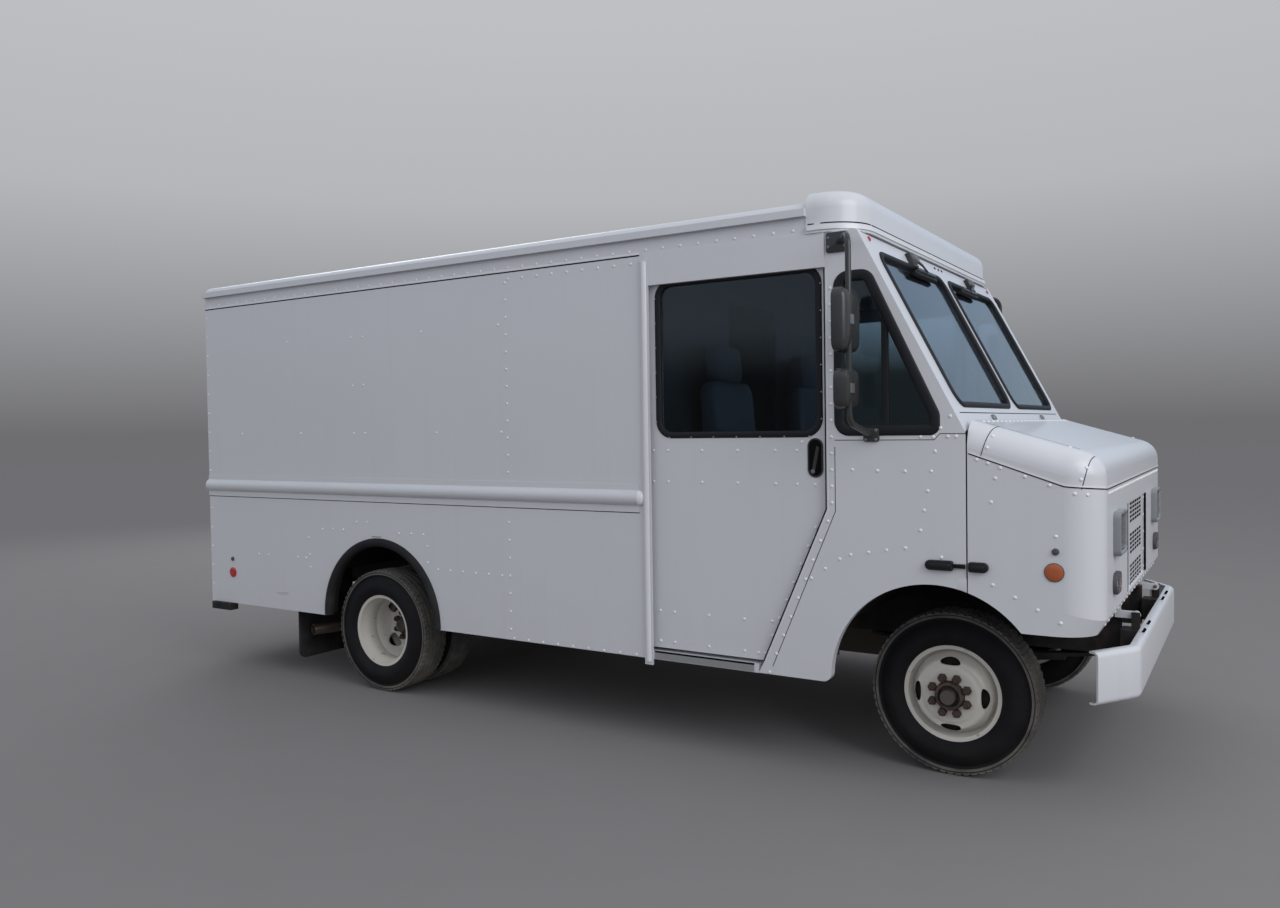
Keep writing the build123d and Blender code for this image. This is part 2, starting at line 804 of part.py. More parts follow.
def wheel_drum(x, z, radius, inner_y, outer_y):
    """The wheelhouse over a wheel of the right side: its curved roof and inner wall."""
    with BuildPart() as drum:
        add(wheelhouse(x, z, radius, inner_y, outer_y))
        add(wheel_space(x, z, radius, inner_y + wheelhouse_sheet, outer_y + 1), mode=Mode.SUBTRACT)
        add(block((firewall_back, -half_width, 0), (firewall_back + 1000, 1, seam_z)), mode=Mode.SUBTRACT)
    return drum.part


with BuildPart() as wheelhouses:
    add(wheel_drum(at(rear_arch), rear_arch_z, arch_outer_rear, rear_wheelhouse_y, wall_inner))
    add(wheel_drum(front_x, front_arch_z, arch_outer_front, front_wheelhouse_y, wall_inner))
    mirror(about=Plane.XZ)

step_low_z = sill_low_z + sill_height
with BuildPart() as step_wells:
    add(block(
        (at(step_rear), -cabin_half, step_low_z), (at(step_front), -cabin_half + step_depth, floor_z)
    ))
    add(
        block(
            (at(step_rear) + step_sheet, -cabin_half - 1, step_low_z + step_sheet),
            (at(step_front) - step_sheet, -cabin_half + step_depth - step_sheet, floor_z + 1),
        ),
        mode=Mode.SUBTRACT,
    )
    mirror(about=Plane.XZ)

with BuildPart() as engine_cover:
    add(block(
        (at(engine_cover_rear), -engine_cover_width / 2, rail_top), (firewall_back, engine_cover_width / 2, engine_cover_z)
    ))
    add(
        block(
            (at(engine_cover_rear) + engine_cover_sheet, -engine_cover_width / 2 + engine_cover_sheet, 0),
            (firewall_back + 1, engine_cover_width / 2 - engine_cover_sheet, engine_cover_z - engine_cover_sheet),
        ),
        mode=Mode.SUBTRACT,
    )

with BuildPart() as floor:
    with BuildSketch(Plane.XY.offset(rail_top)):
        with BuildLine():
            Polyline(
                (at(body_rear) + wall, 0),
                (at(body_rear) + wall, -wall_inner),
                (at(pocket_rear), -wall_inner),
                (at(pocket_rear), -cabin_half),
                (at(door_front), -cabin_half),
                (at(door_front), -wall_inner),
                (firewall_back, -wall_inner),
                (firewall_back, 0),
                close=True,
            )
        make_face()
        mirror(about=Plane.XZ)
    extrude(amount=floor_sheet)
    add(block(
        (at(body_rear) + wall + deck_margin, -rear_wheelhouse_y + 2 * deck_margin, floor_z - 1),
        (at(bulkhead) - deck_margin, rear_wheelhouse_y - 2 * deck_margin, floor_z + deck_board),
    ))
    for side in (-1, 1):
        for x, z, radius, inner_y in (
            (at(rear_arch), rear_arch_z, arch_outer_rear, rear_wheelhouse_y),
            (front_x, front_arch_z, arch_outer_front, front_wheelhouse_y),
        ):
            with Locations((x, side * (inner_y - slide_gap + half_width) / 2, z)):
                Cylinder(
                    radius + wheelhouse_sheet + slide_gap,
                    half_width - inner_y + slide_gap,
                    rotation=(90, 0, 0),
                    mode=Mode.SUBTRACT,
                )
        add(
            block(
                (at(step_rear) - slide_gap, side * half_width, 0),
                (at(step_front) + slide_gap, side * (cabin_half - step_depth - slide_gap), seam_z),
            ),
            mode=Mode.SUBTRACT,
        )
    add(
        block(
            (at(engine_cover_rear) - slide_gap, -engine_cover_width / 2 - slide_gap, 0),
            (firewall_back + 1, engine_cover_width / 2 + slide_gap, seam_z),
        ),
        mode=Mode.SUBTRACT,
    )

# Bulkhead behind the seats with an open doorway
with BuildPart() as bulkhead_panel:
    with BuildSketch(Plane.YZ.offset(at(bulkhead))):
        with Locations((0, (floor_z + seam_z) / 2)):
            Rectangle(2 * cabin_half, seam_z - floor_z)
        with Locations((0, (floor_z + bulkhead_doorway_top) / 2)):
            Rectangle(bulkhead_doorway, bulkhead_doorway_top - floor_z, mode=Mode.SUBTRACT)
    extrude(amount=bulkhead_sheet)
    under_roof = roof_section(
        Plane.YZ.offset(at(bulkhead)),
        half_width - roof_sheet - slide_gap,
        seam_z,
        eave_z - roof_sheet - slide_gap,
        roof_top - roof_sheet - slide_gap,
        roof_corner_radius - roof_sheet / 2,
    )
    extrude(under_roof, amount=bulkhead_sheet)

# Cab sides: pillar, quarter window and the panel over the front wheel
quarter_top_front = -268.0
quarter_nose = 18.0
quarter_nose_z = 1662.0


def quarter_outline(inset):
    """The quarter window's outline on the side plane, drawn in by inset."""
    with BuildSketch(side_plane) as outline:
        with BuildLine():
            Polyline(
                (at(quarter_rear), quarter_low_z),
                (at(quarter_nose) + 10, quarter_low_z),
                (at(quarter_nose) + 10, quarter_nose_z - 30),
                (at(quarter_top_front), quarter_high_z),
                (at(quarter_rear), quarter_high_z),
                close=True,
            )
        make_face()
        fillet(outline.vertices(), quarter_radius)
        offset(amount=-inset)
    return outline.sketch


with BuildPart() as cab_sides:
    with BuildSketch(side_plane) as cab_side:
        with BuildLine():
            Polyline(
                (at(door_front), seam_z),
                (at(door_front), door_knee_z),
                (at(door_toe), door_low_z),
                (at(door_toe) - toe_rake, skirt_z),
                (firewall_back, skirt_z),
                (firewall_back, cowl_z - cowl_drop),
                (screen_x(cowl_z) - screen_depth, cowl_z),
                (screen_x(seam_z) - screen_depth, seam_z),
                close=True,
            )
        make_face()
        with Locations((front_x, front_arch_z)):
            Circle(front_arch_radius, mode=Mode.SUBTRACT)
        with Locations((front_x + front_arch_radius, front_arch_z / 2)):
            Rectangle(2 * front_arch_radius, front_arch_z, mode=Mode.SUBTRACT)
        fillet(cab_side.vertices().sort_by(Axis.Y)[:2].sort_by(Axis.X)[-1], panel_radius)
    extrude(amount=-wall)
    extrude(quarter_outline(quarter_border), amount=-wall, mode=Mode.SUBTRACT)
    mirror(about=Plane.XZ)

# Windshield frame: sloping front with two window holes, and the firewall below it
screen_up = Vector(-pillar_slope, 0, 1).normalized()
screen_out = Vector(1, 0, pillar_slope).normalized()
screen_scale = math.hypot(1.0, pillar_slope)
screen_plane = Plane(origin=(screen_x(0), 0, 0), x_dir=(0, 1, 0), z_dir=screen_out)


def pane_outline(plane, inset):
    """Both windshield panes on a plane of the screen, drawn in by inset."""
    with BuildSketch(plane) as panes:
        for side in (-1, 1):
            with Locations((side * (pane_inner_y + pane_outer_y) / 2, (pane_low_z + pane_high_z) / 2 * screen_scale)):
                RectangleRounded(
                    pane_outer_y - pane_inner_y - 2 * inset,
                    (pane_high_z - pane_low_z) * screen_scale - 2 * inset,
                    pane_radius - inset,
                )
    return panes.sketch


with BuildPart() as windshield_frame:
    with BuildSketch(Plane.XZ.offset(-half_width)):
        with BuildLine():
            Polyline(
                (screen_x(seam_z), seam_z),
                (screen_x(cowl_z), cowl_z),
                (at(firewall), cowl_z - cowl_drop),
                (at(firewall), firewall_low_z),
                (firewall_back, firewall_low_z),
                (firewall_back, cowl_z - cowl_drop),
                (screen_x(cowl_z) - screen_depth, cowl_z),
                (screen_x(seam_z) - screen_depth, seam_z),
                close=True,
            )
        make_face()
    extrude(amount=2 * half_width)
    extrude(pane_outline(screen_plane, window_border), amount=-2 * screen_sheet, mode=Mode.SUBTRACT)
    for side in (-1, 1):
        with Locations((at(firewall), side * (half_width + front_wheelhouse_y) / 2, 0)):
            Box(
                200,
                half_width - front_wheelhouse_y,
                2 * (front_arch_z + arch_outer_front + wheelhouse_sheet),
                mode=Mode.SUBTRACT,
            )
    with Locations((at(firewall), 0, 0)):
        Box(200, engine_cover_width - 2 * engine_cover_sheet, 2 * engine_cover_z - 60, mode=Mode.SUBTRACT)

# Glass of the cab: two windshield panes and a quarter pane on each side
with BuildPart() as cab_glass:
    extrude(pane_outline(screen_plane.offset(-screen_sheet / 2), window_border + glass_gap), amount=glass_sheet)
    quarter_pane = quarter_outline(quarter_border + glass_gap)
    extrude(quarter_pane.moved(Location((0, wall / 2, 0))), amount=glass_sheet)
    extrude(quarter_pane.moved(Location((0, 2 * half_width - wall / 2, 0))), amount=-glass_sheet)

# Sliding doors: the right one and its mirror image


def door_outline(plane):
    """The door's outline: straight at the top, sloping back below its knee."""
    with BuildSketch(plane) as outline:
        with BuildLine():
            Polyline(
                (at(track) - door_lap, door_low_z),
                (at(door_toe) - door_gap, door_low_z),
                (at(door_front) - door_gap, door_knee_z),
                (at(door_front) - door_gap, door_top_z),
                (at(track) - door_lap, door_top_z),
                close=True,
            )
        make_face()
    return outline.sketch


def door_window(plane, inset):
    """The door window's rounded outline, drawn in by inset."""
    with BuildSketch(plane) as outline:
        with Locations((front_x + (window_rear + window_front) / 2, (window_low_z + window_high_z) / 2)):
            RectangleRounded(
                window_front - window_rear - 2 * inset, window_high_z - window_low_z - 2 * inset, window_radius - inset
            )
    return outline.sketch


with BuildPart() as right_door:
    extrude(door_outline(Plane.XZ.offset(door_outer)), amount=-door_sheet)
    extrude(door_window(Plane.XZ.offset(door_outer), window_border), amount=-door_sheet, mode=Mode.SUBTRACT)
    with BuildSketch(Plane.XZ.offset(door_outer)):
        with Locations((at(handle_front) - handle_width / 2, (handle_low_z + handle_high_z) / 2)):
            SlotOverall(handle_high_z - handle_low_z, handle_width - 6, rotation=90)
    extrude(amount=handle_proud)
    for station in (track + shoe_length, door_front - 2 * shoe_length):
        add(block(
            (at(station) - shoe_length / 2, -door_outer + shoe_inset, door_top_z - 1),
            (at(station) + shoe_length / 2, -door_inner - shoe_inset, door_top_z + door_gap - slide_gap),
        ))
with BuildPart() as left_door:
    mirror(right_door.part, about=Plane.XZ)
with BuildPart() as right_door_glass:
    extrude(
        door_window(Plane.XZ.offset(door_outer - door_sheet / 2), window_border + glass_gap), amount=glass_sheet
    )
with BuildPart() as left_door_glass:
    mirror(right_door_glass.part, about=Plane.XZ)

# Door tracks: cover strip, header over the door and the sill under it
with BuildPart() as door_tracks:
    add(block(
        (at(track) - track_width / 2, -half_width - track_proud, track_low_z),
        (at(track) + track_width / 2, -half_width, track_high_z),
    ))
    add(block(
        (at(track), -half_width - header_proud, header_low_z), (at(door_front), -half_width + skin, seam_z)
    ))
    add(block(
        (at(track), -half_width + skin, door_top_z + door_gap),
        (at(door_front), -door_inner, door_top_z + door_gap + door_rail_height),
    ))
    add(block(
        (at(track), -half_width, sill_low_z), (at(door_toe) - toe_rake, -half_width + sill_depth, sill_low_z + sill_height)
    ))
    mirror(about=Plane.XZ)

# Rub rails and drip rails along both sides
with BuildPart() as body_rails:
    with BuildSketch(Plane.YZ.offset(at(body_rear))):
        with BuildLine():
            Polyline(
                (-half_width, rub_low_z),
                (-half_width - rub_flange, rub_low_z),
                (-half_width - rub_flange, rub_bulge_low_z),
            )
            ThreePointArc(
                (-half_width - rub_flange, rub_bulge_low_z),
                (-half_width - rub_proud, (rub_bulge_low_z + rub_bulge_high_z) / 2),
                (-half_width - rub_flange, rub_bulge_high_z),
            )
            Polyline(
                (-half_width - rub_flange, rub_bulge_high_z),
                (-half_width - rub_flange, rub_high_z),
                (-half_width, rub_high_z),
                (-half_width, rub_low_z),
            )
        make_face()
    extrude(amount=rub_front - body_rear)
    add(block(
        (at(body_rear), -half_width - drip_proud, drip_low_z), (at(cap_rear), -half_width, drip_low_z + drip_height)
    ))
    mirror(about=Plane.XZ)


# Nose: hood, fenders and front in one shell that tilts forward
def nose_solid(inset):
    """The nose's outer form, made smaller all round by inset."""
    rear = at(firewall) + nose_gap - (inset and 1)
    front = at(nose_front) - inset
    low = nose_low_z - (inset and 1)
    half = half_width - inset
    with BuildPart() as nose:
        with BuildSketch(Plane.XZ.offset(-half)):
            with BuildLine():
                Polyline(
                    (rear, low),
                    (front - valance_set, low),
                    (front, valance_z),
                    (front, hood_front_z - inset),
                    (rear, hood_rear_z - inset),
                    close=True,
                )
            make_face()
        extrude(amount=2 * half)
        fillet(nose.faces().filter_by(Axis.Y).edges().group_by(Axis.X)[-2:], nose_corner_radius - inset)
        top = nose.faces().sort_by(Axis.Z)[-1]
        fillet(top.edges().sort_by(Axis.X)[1:], hood_front_radius - inset)
    return nose.part


with BuildPart() as nose_shell:
    add(nose_solid(0))
    add(nose_solid(nose_sheet), mode=Mode.SUBTRACT)
    with BuildSketch(Plane.XZ.offset(-half_width - 10)):
        with Locations((front_x, front_arch_z)):
            Circle(front_arch_radius)
    extrude(amount=2 * half_width + 20, mode=Mode.SUBTRACT)
    with BuildSketch(Plane.YZ.offset(at(nose_front) - nose_sheet)):
        with Locations((0, (grille_low_z + grille_high_z) / 2)):
            Rectangle(grille_width, grille_high_z - grille_low_z)
    extrude(amount=2 * nose_sheet, mode=Mode.SUBTRACT)
    for side in (-1, 1):
        arm_low = side * hinge_arm_y - hinge_arm / 2
        arm_high = side * hinge_arm_y + hinge_arm / 2
        add(block(
            (at(nose_front) - 2 * nose_sheet, arm_low, nose_hinge_z - hinge_arm),
            (at(nose_hinge), arm_high, nose_hinge_z + hinge_arm),
        ))
        add(block(
            (at(nose_front) - 2 * nose_sheet, arm_low, nose_hinge_z - hinge_arm),
            (at(nose_front) - nose_sheet + 1, arm_high, nose_low_z + 4 * hinge_arm),
        ))
        with BuildSketch(Plane.XZ.offset(-arm_high)):
            with Locations((at(nose_hinge), nose_hinge_z)):
                Circle(hinge_eye_radius)
        extrude(amount=hinge_arm)
        with BuildSketch(Plane.XZ.offset(-arm_high - 1)):
            with Locations((at(nose_hinge), nose_hinge_z)):
                Circle(hinge_pin_radius + running_gap)
        extrude(amount=hinge_arm + 2, mode=Mode.SUBTRACT)

# Grille: punched panel with three groups of slots, and a slot left open at each side of it
with BuildPart() as grille:
    with BuildSketch(Plane.YZ.offset(at(nose_front) - grille_inset)):
        with Locations((0, (grille_low_z + grille_high_z) / 2)):
            Rectangle(grille_panel_width, grille_high_z - grille_low_z)
            with GridLocations(1, grille_window_pitch, 1, grille_window_count):
                with GridLocations(grille_pitch_y, grille_pitch_z, grille_columns, grille_rows):
                    Rectangle(grille_pitch_y - grille_post, grille_pitch_z - grille_bar, mode=Mode.SUBTRACT)
    extrude(amount=grille_sheet)

# Lamps of the nose: square headlamps over oval turn lamps
with BuildPart() as nose_lamps:
    for side in (-1, 1):
        with BuildSketch(Plane.YZ.offset(at(nose_front))):
            with Locations((side * lamp_y, lamp_z)):
                RectangleRounded(lamp_width, lamp_height, lamp_radius)
            with Locations((side * turn_y, turn_z)):
                SlotOverall(turn_width, turn_height)
        extrude(amount=lamp_proud)
        with BuildSketch(Plane.YZ.offset(at(nose_front))):
            with Locations((side * lamp_y, lamp_z)):
                RectangleRounded(lamp_width, lamp_height, lamp_radius)
                RectangleRounded(
                    lamp_width - 2 * bezel_border,
                    lamp_height - 2 * bezel_border,
                    lamp_radius - bezel_border / 2,
                    mode=Mode.SUBTRACT,
                )
        extrude(amount=bezel_proud)

# Hood latches across the seam on both sides, carried by the nose
with BuildPart() as hood_latches:
    add(block(
        (at(firewall) + nose_gap, -half_width - latch_proud, latch_z - latch_height / 2),
        (at(latch_front), -half_width, latch_z + latch_height / 2),
    ))
    mirror(about=Plane.XZ)
with BuildPart() as latch_anchors:
    add(block(
        (at(latch_rear), -half_width - latch_proud, latch_z - latch_height / 2),
        (at(firewall) - 4, -half_width, latch_z + latch_height / 2),
    ))
    mirror(about=Plane.XZ)


# Front bumper: pressed channel with its ends swept back
def bumper_band(low, high, depth):
    """A band of the bumper between two heights, as deep as given behind its face."""
    tip_y = bumper_width / 2
    bend_y = tip_y - bumper_wing
    wing = Vector(front_overhang - bumper_tip, bumper_wing, 0).normalized()
    back_bend_y = bend_y - depth * (1 - wing.Y) / wing.X
    outline = (
        (at(bumper_tip), -tip_y), (at(front_overhang), -bend_y), (at(front_overhang), bend_y), (at(bumper_tip), tip_y)
    )
    back = (
        (at(bumper_tip) - depth * wing.Y, tip_y - depth * wing.X),
        (at(front_overhang) - depth, back_bend_y),
        (at(front_overhang) - depth, -back_bend_y),
        (at(bumper_tip) - depth * wing.Y, -tip_y + depth * wing.X),
    )
    with BuildPart() as band:
        with BuildSketch(Plane.XY.offset(low)):
            with BuildLine():
                FilletPolyline(*outline, radius=bumper_bend)
                Line(outline[-1], back[0])
                FilletPolyline(*back, radius=bumper_bend - depth)
                Line(back[-1], outline[0])
            make_face()
        extrude(amount=high - low)
    return band.part


bumper_high_z = bumper_low_z + bumper_height
hinge_lug_gap = 6.0
hinge_lug_rise = 6.0
bracket_inner_y = 395.0
bracket_outer_y = 500.0
bracket_low_z = rail_low + 20.0
lug_y = hinge_arm_y + hinge_arm / 2 + hinge_lug / 2 + hinge_lug_gap
with BuildPart() as front_bumper:
    add(bumper_band(bumper_low_z, bumper_high_z, bumper_sheet))
    add(bumper_band(bumper_low_z, bumper_low_z + bumper_sheet, bumper_flange))
    add(bumper_band(bumper_high_z - bumper_sheet, bumper_high_z, bumper_flange))
    for side in (-1, 1):
        add(block(
            (at(rail_front), side * bracket_inner_y, bracket_low_z),
            (at(front_overhang) - bumper_sheet, side * bracket_outer_y, bumper_high_z - bumper_sheet),
        ))
        add(block(
            (at(nose_hinge) - hinge_eye_radius, side * (lug_y - hinge_lug / 2), bumper_high_z - bumper_sheet),
            (
                at(nose_hinge) + hinge_eye_radius,
                side * (lug_y + hinge_lug / 2),
                nose_hinge_z + hinge_pin_radius + hinge_lug_rise,
            ),
        ))
        with BuildSketch(Plane.XZ.offset(-side * (lug_y - hinge_lug / 2))):
            with Locations((at(nose_hinge), nose_hinge_z)):
                Circle(hinge_pin_radius)
        extrude(amount=side * (hinge_arm + 2 * hinge_lug_gap))

# Rear bumper: step behind the body with end pieces round the corners
rear_bumper_high = rear_bumper_low_z + rear_bumper_height
with BuildPart() as rear_bumper:
    add(block(
        (rear_x - rear_overhang, -rear_step_width / 2, rear_bumper_low_z + 10),
        (at(body_rear) + 60, rear_step_width / 2, rear_bumper_high),
    ))
    add(block(
        (rear_x - rear_overhang, -rear_step_width / 2 + rear_bumper_end, rear_bumper_high - 1),
        (at(body_rear) - rear_step_tread, rear_step_width / 2 - rear_bumper_end, rear_bumper_high + rear_step_tread),
    ))
    for side in (-1, 1):
        add(block(
            (at(body_rear) + wall, side * half_width - rear_bumper_end, rear_bumper_low_z),
            (at(rear_bumper_front), side * half_width + rear_bumper_end, skirt_z),
        ))

# Rubber: flares round the rear arches and the mudflaps behind the wheels
with BuildPart() as fender_rubber:
    with BuildSketch(side_plane):
        with Locations((at(rear_arch), rear_arch_z)):
            Circle(rear_arch_radius + flare_width - 10)
            Circle(rear_arch_radius - 10, mode=Mode.SUBTRACT)
        with Locations((at(rear_arch), skirt_z - 1000)):
            Rectangle(3 * rear_arch_radius, 2000, mode=Mode.SUBTRACT)
    extrude(amount=flare_proud)
    with BuildSketch(Plane.YZ.offset(at(mudflap) - mudflap_sheet)) as flap:
        with Locations((-(wall_inner + mudflap_inner_y) / 2, (mudflap_low_z + rail_top) / 2)):
            Rectangle(wall_inner - mudflap_inner_y, rail_top - mudflap_low_z)
        fillet(flap.vertices().sort_by(Axis.Y)[:2], mudflap_radius)
    extrude(amount=mudflap_sheet)
    mirror(about=Plane.XZ)

# Dashboard with the steering column
column_y = 560.0
with BuildPart() as dashboard:
    with BuildSketch(Plane.XZ.offset(-wall_inner + 2)):
        with BuildLine():
            Polyline(
                (firewall_back, 1110), (firewall_back, 1480), (at(-60), 1500), (at(-190), 1440), (at(-150), 1240), close=True
            )
        make_face()
    extrude(amount=2 * wall_inner - 4)
    add(block(
        (at(engine_cover_rear) - 5, -engine_cover_width / 2 - 5, 0), (at(nose_front), engine_cover_width / 2 + 5, engine_cover_z + 5)
    ), mode=Mode.SUBTRACT)

# Steering wheel on its column
wheel_station = -350.0
steering_z = 1520.0
steering_radius = 225.0
steering_rim = 26.0
column_length = 360.0
wheel_plane = Plane(origin=(at(wheel_station), column_y, steering_z), x_dir=(0, 1, 0), z_dir=(-0.6, 0, 0.8))
with BuildPart() as steering_wheel:
    with BuildSketch(wheel_plane.offset(-steering_rim / 2)):
        Circle(steering_radius)
        Circle(steering_radius - steering_rim, mode=Mode.SUBTRACT)
    extrude(amount=steering_rim)
    with BuildSketch(wheel_plane.offset(-12)):
        Circle(46)
        with PolarLocations(0, 3, start_angle=90):
            with Locations((110, 0)):
                Rectangle(212, 30)
    extrude(amount=20)
    with BuildSketch(wheel_plane.offset(-column_length)):
        Circle(26)
    extrude(amount=column_length)
    add(dashboard.part, mode=Mode.SUBTRACT)

# Seats: high-backed driver's seat and a passenger seat, each on a pedestal
seat_x = -1100.0
seat_y = 560.0
seat_low_z = 1010.0
seat_height = 120.0
seat_depth = 460.0
seat_width = 480.0
seat_radius = 50.0
pedestal_half = 130.0
back_top_z = 1800.0
back_sheet = 120.0
back_rake = 70.0
headrest_width = 270.0
headrest_top_z = 2020.0
with BuildPart() as seats:
    add(block(
        (at(seat_x) - pedestal_half, -seat_y - pedestal_half, floor_z),
        (at(seat_x) + pedestal_half, -seat_y + pedestal_half, seat_low_z),
    ))
    with BuildSketch(Plane.XY.offset(seat_low_z)):
        with Locations((at(seat_x) + 30, -seat_y)):
            RectangleRounded(seat_depth, seat_width, seat_radius)
    extrude(amount=seat_height)
    back_low_x = at(seat_x) + 30 - seat_depth / 2
    back_drop = back_top_z - seat_low_z
    back_plane = Plane(
        origin=(back_low_x, -seat_y, seat_low_z), x_dir=(0, 1, 0), z_dir=Vector(-back_drop, 0, -back_rake)
    )
    with BuildSketch(back_plane) as seat_back:
        with Locations((0, -back_drop / 2)):
            RectangleRounded(seat_width - 20, back_drop, seat_radius)
        with Locations((0, -(headrest_top_z - seat_low_z) / 2 - seat_radius)):
            RectangleRounded(headrest_width, headrest_top_z - seat_low_z - 2 * seat_radius, seat_radius)
    extrude(amount=-back_sheet)
    mirror(about=Plane.XZ)

# Mirrors: looped arm and two heads on each side
mirror_y = 1400.0
mirror_station = -290.0
mirror_top_station = -400.0
mirror_top_z = 2400.0
mirror_low_z = 1500.0
mirror_tube_radius = 13.0
mirror_start = 9.0
mirror_foot = 12.0
with BuildPart() as mirrors:
    with BuildLine():
        FilletPolyline(
            (at(mirror_top_station), -half_width - mirror_start, mirror_top_z),
            (at(mirror_station), -mirror_y, mirror_top_z),
            (at(mirror_station), -mirror_y, mirror_low_z + 90),
            (at(mirror_station), -half_width - mirror_start, mirror_low_z),
            radius=60,
        )
    with BuildSketch(Plane(
        (at(mirror_top_station), -half_width - mirror_start, mirror_top_z),
        z_dir=(mirror_top_station - mirror_station, mirror_y - half_width - mirror_start, 0),
    )):
        Circle(mirror_tube_radius)
    sweep()
    add(block((at(mirror_station) - 60, -mirror_y - 95, 1900), (at(mirror_station) + 6, -mirror_y + 95, 2170)))
    add(block((at(mirror_station) - 60, -mirror_y - 75, 1660), (at(mirror_station) + 6, -mirror_y + 75, 1830)))
    add(block(
        (at(mirror_top_station) - 60, -half_width - mirror_foot, mirror_top_z - 45),
        (at(mirror_top_station) + 40, -half_width, mirror_top_z + 45),
    ))
    add(block(
        (at(mirror_station) - 30, -half_width - mirror_foot, mirror_low_z - 40),
        (at(mirror_station) + 30, -half_width, mirror_low_z + 40),
    ))
    mirror(about=Plane.XZ)

# Wipers: an arm and blade parked along the top of each pane
with BuildPart() as wipers:
    for side in (-1, 1):
        with BuildSketch(screen_plane):
            with Locations((side * 430, (pane_high_z - 10) * screen_scale)):
                Rectangle(360, 26)
            with Locations((side * 560, (pane_high_z + 20) * screen_scale)):
                Rectangle(60, 60)
        extrude(amount=30)

# Lamps of the body: tail lamps and reflectors
with BuildPart() as body_lamps:
    for side in (-1, 1):
        with BuildSketch(Plane.YZ.offset(at(body_rear))):
            with Locations((side * 1000, 640)):
                RectangleRounded(150, 90, 30)
        extrude(amount=-12)
        with BuildSketch(Plane.XZ.offset(-side * half_width)):
            with Locations((at(-4780), 643)):
                Circle(34)
            with Locations((at(-4780), 735)):
                Circle(14)
        extrude(amount=-side * 8)

# Each finished piece, by node name
pieces = {
    "frame_rails": frame_rails,
    "front_axle": front_axle,
    "rear_axle": rear_axle,
    "leaf_springs": leaf_springs,
    "engine_block": engine_block,
    "radiator": radiator,
    "fuel_tank": fuel_tank,
    "exhaust": exhaust,
    "front_tyre_right": front_tyre_right,
    "front_tyre_left": front_tyre_left,
    "front_rim_right": front_rim_right,
    "front_rim_left": front_rim_left,
    "rear_tyres_right": rear_tyres_right,
    "rear_tyres_left": rear_tyres_left,
    "rear_rims_right": rear_rims_right,
    "rear_rims_left": rear_rims_left,
    "knuckle_right": knuckle_right,
    "knuckle_left": knuckle_left,
    "side_walls": side_walls,
    "roof_panel": roof_panel,
    "roof_cap": roof_cap,
    "rear_frame": rear_frame,
    "rear_door_right": rear_door_right,
    "rear_door_left": rear_door_left,
    "rear_glass_right": rear_glass_right,
    "rear_glass_left": rear_glass_left,
    "floor": floor,
    "wheelhouses": wheelhouses,
    "step_wells": step_wells,
    "engine_cover": engine_cover,
    "bulkhead": bulkhead_panel,
    "cab_sides": cab_sides,
    "windshield_frame": windshield_frame,
    "cab_glass": cab_glass,
    "right_door": right_door,
    "left_door": left_door,
    "right_door_glass": right_door_glass,
    "left_door_glass": left_door_glass,
    "door_tracks": door_tracks,
    "body_rails": body_rails,
    "nose_shell": nose_shell,
    "grille": grille,
    "nose_lamps": nose_lamps,
    "hood_latches": hood_latches,
    "latch_anchors": latch_anchors,
    "front_bumper": front_bumper,
    "rear_bumper": rear_bumper,
    "fender_rubber": fender_rubber,
    "dashboard": dashboard,
    "steering_wheel": steering_wheel,
    "seats": seats,
    "mirrors": mirrors,
    "wipers": wipers,
    "body_lamps": body_lamps,
}
for name, piece in pieces.items():
    piece.part.label = name
    export_step(piece.part, f"parts/{name}.step")
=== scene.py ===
"""Looks of a step van: its finishes and fine pieces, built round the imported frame.

Lengths are metres in the frame's own axes: X forward, Y to the left, Z up from the ground.
A station is a distance forward of the front axle, as on a body builder's drawing.
Most pieces are worked out on the right side, where Y is negative, and mirrored to the left.
"""

import logging
import math
from dataclasses import dataclass, replace
from enum import Enum

import bmesh
import bpy
import numpy as np
from mathutils import Matrix, Vector
from mathutils.bvhtree import BVHTree


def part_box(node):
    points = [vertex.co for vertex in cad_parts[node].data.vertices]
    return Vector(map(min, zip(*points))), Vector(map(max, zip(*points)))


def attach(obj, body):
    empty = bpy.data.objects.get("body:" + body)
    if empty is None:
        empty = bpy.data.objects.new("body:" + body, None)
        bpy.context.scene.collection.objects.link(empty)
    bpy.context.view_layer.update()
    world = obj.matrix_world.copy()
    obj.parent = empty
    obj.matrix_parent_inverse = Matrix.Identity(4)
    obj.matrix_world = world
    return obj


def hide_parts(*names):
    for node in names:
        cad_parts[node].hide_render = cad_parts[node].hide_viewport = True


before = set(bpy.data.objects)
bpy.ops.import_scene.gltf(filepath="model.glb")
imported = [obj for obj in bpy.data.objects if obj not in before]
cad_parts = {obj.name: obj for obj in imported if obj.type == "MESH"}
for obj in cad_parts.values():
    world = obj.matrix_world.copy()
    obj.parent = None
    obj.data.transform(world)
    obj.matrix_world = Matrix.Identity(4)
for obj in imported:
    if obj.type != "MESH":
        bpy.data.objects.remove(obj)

log = logging.getLogger("step_van")

TAU = 2 * math.pi
Point = tuple[float, float, float]
Colour = tuple[float, float, float]


class Side(Enum):
    """The two sides of the van, with the sign of Y on each."""

    RIGHT = -1
    LEFT = 1

    @property
    def word(self) -> str:
        """The side as it stands in the names of nodes and bodies."""
        return self.name.lower()


# Surfaces as whole arrays


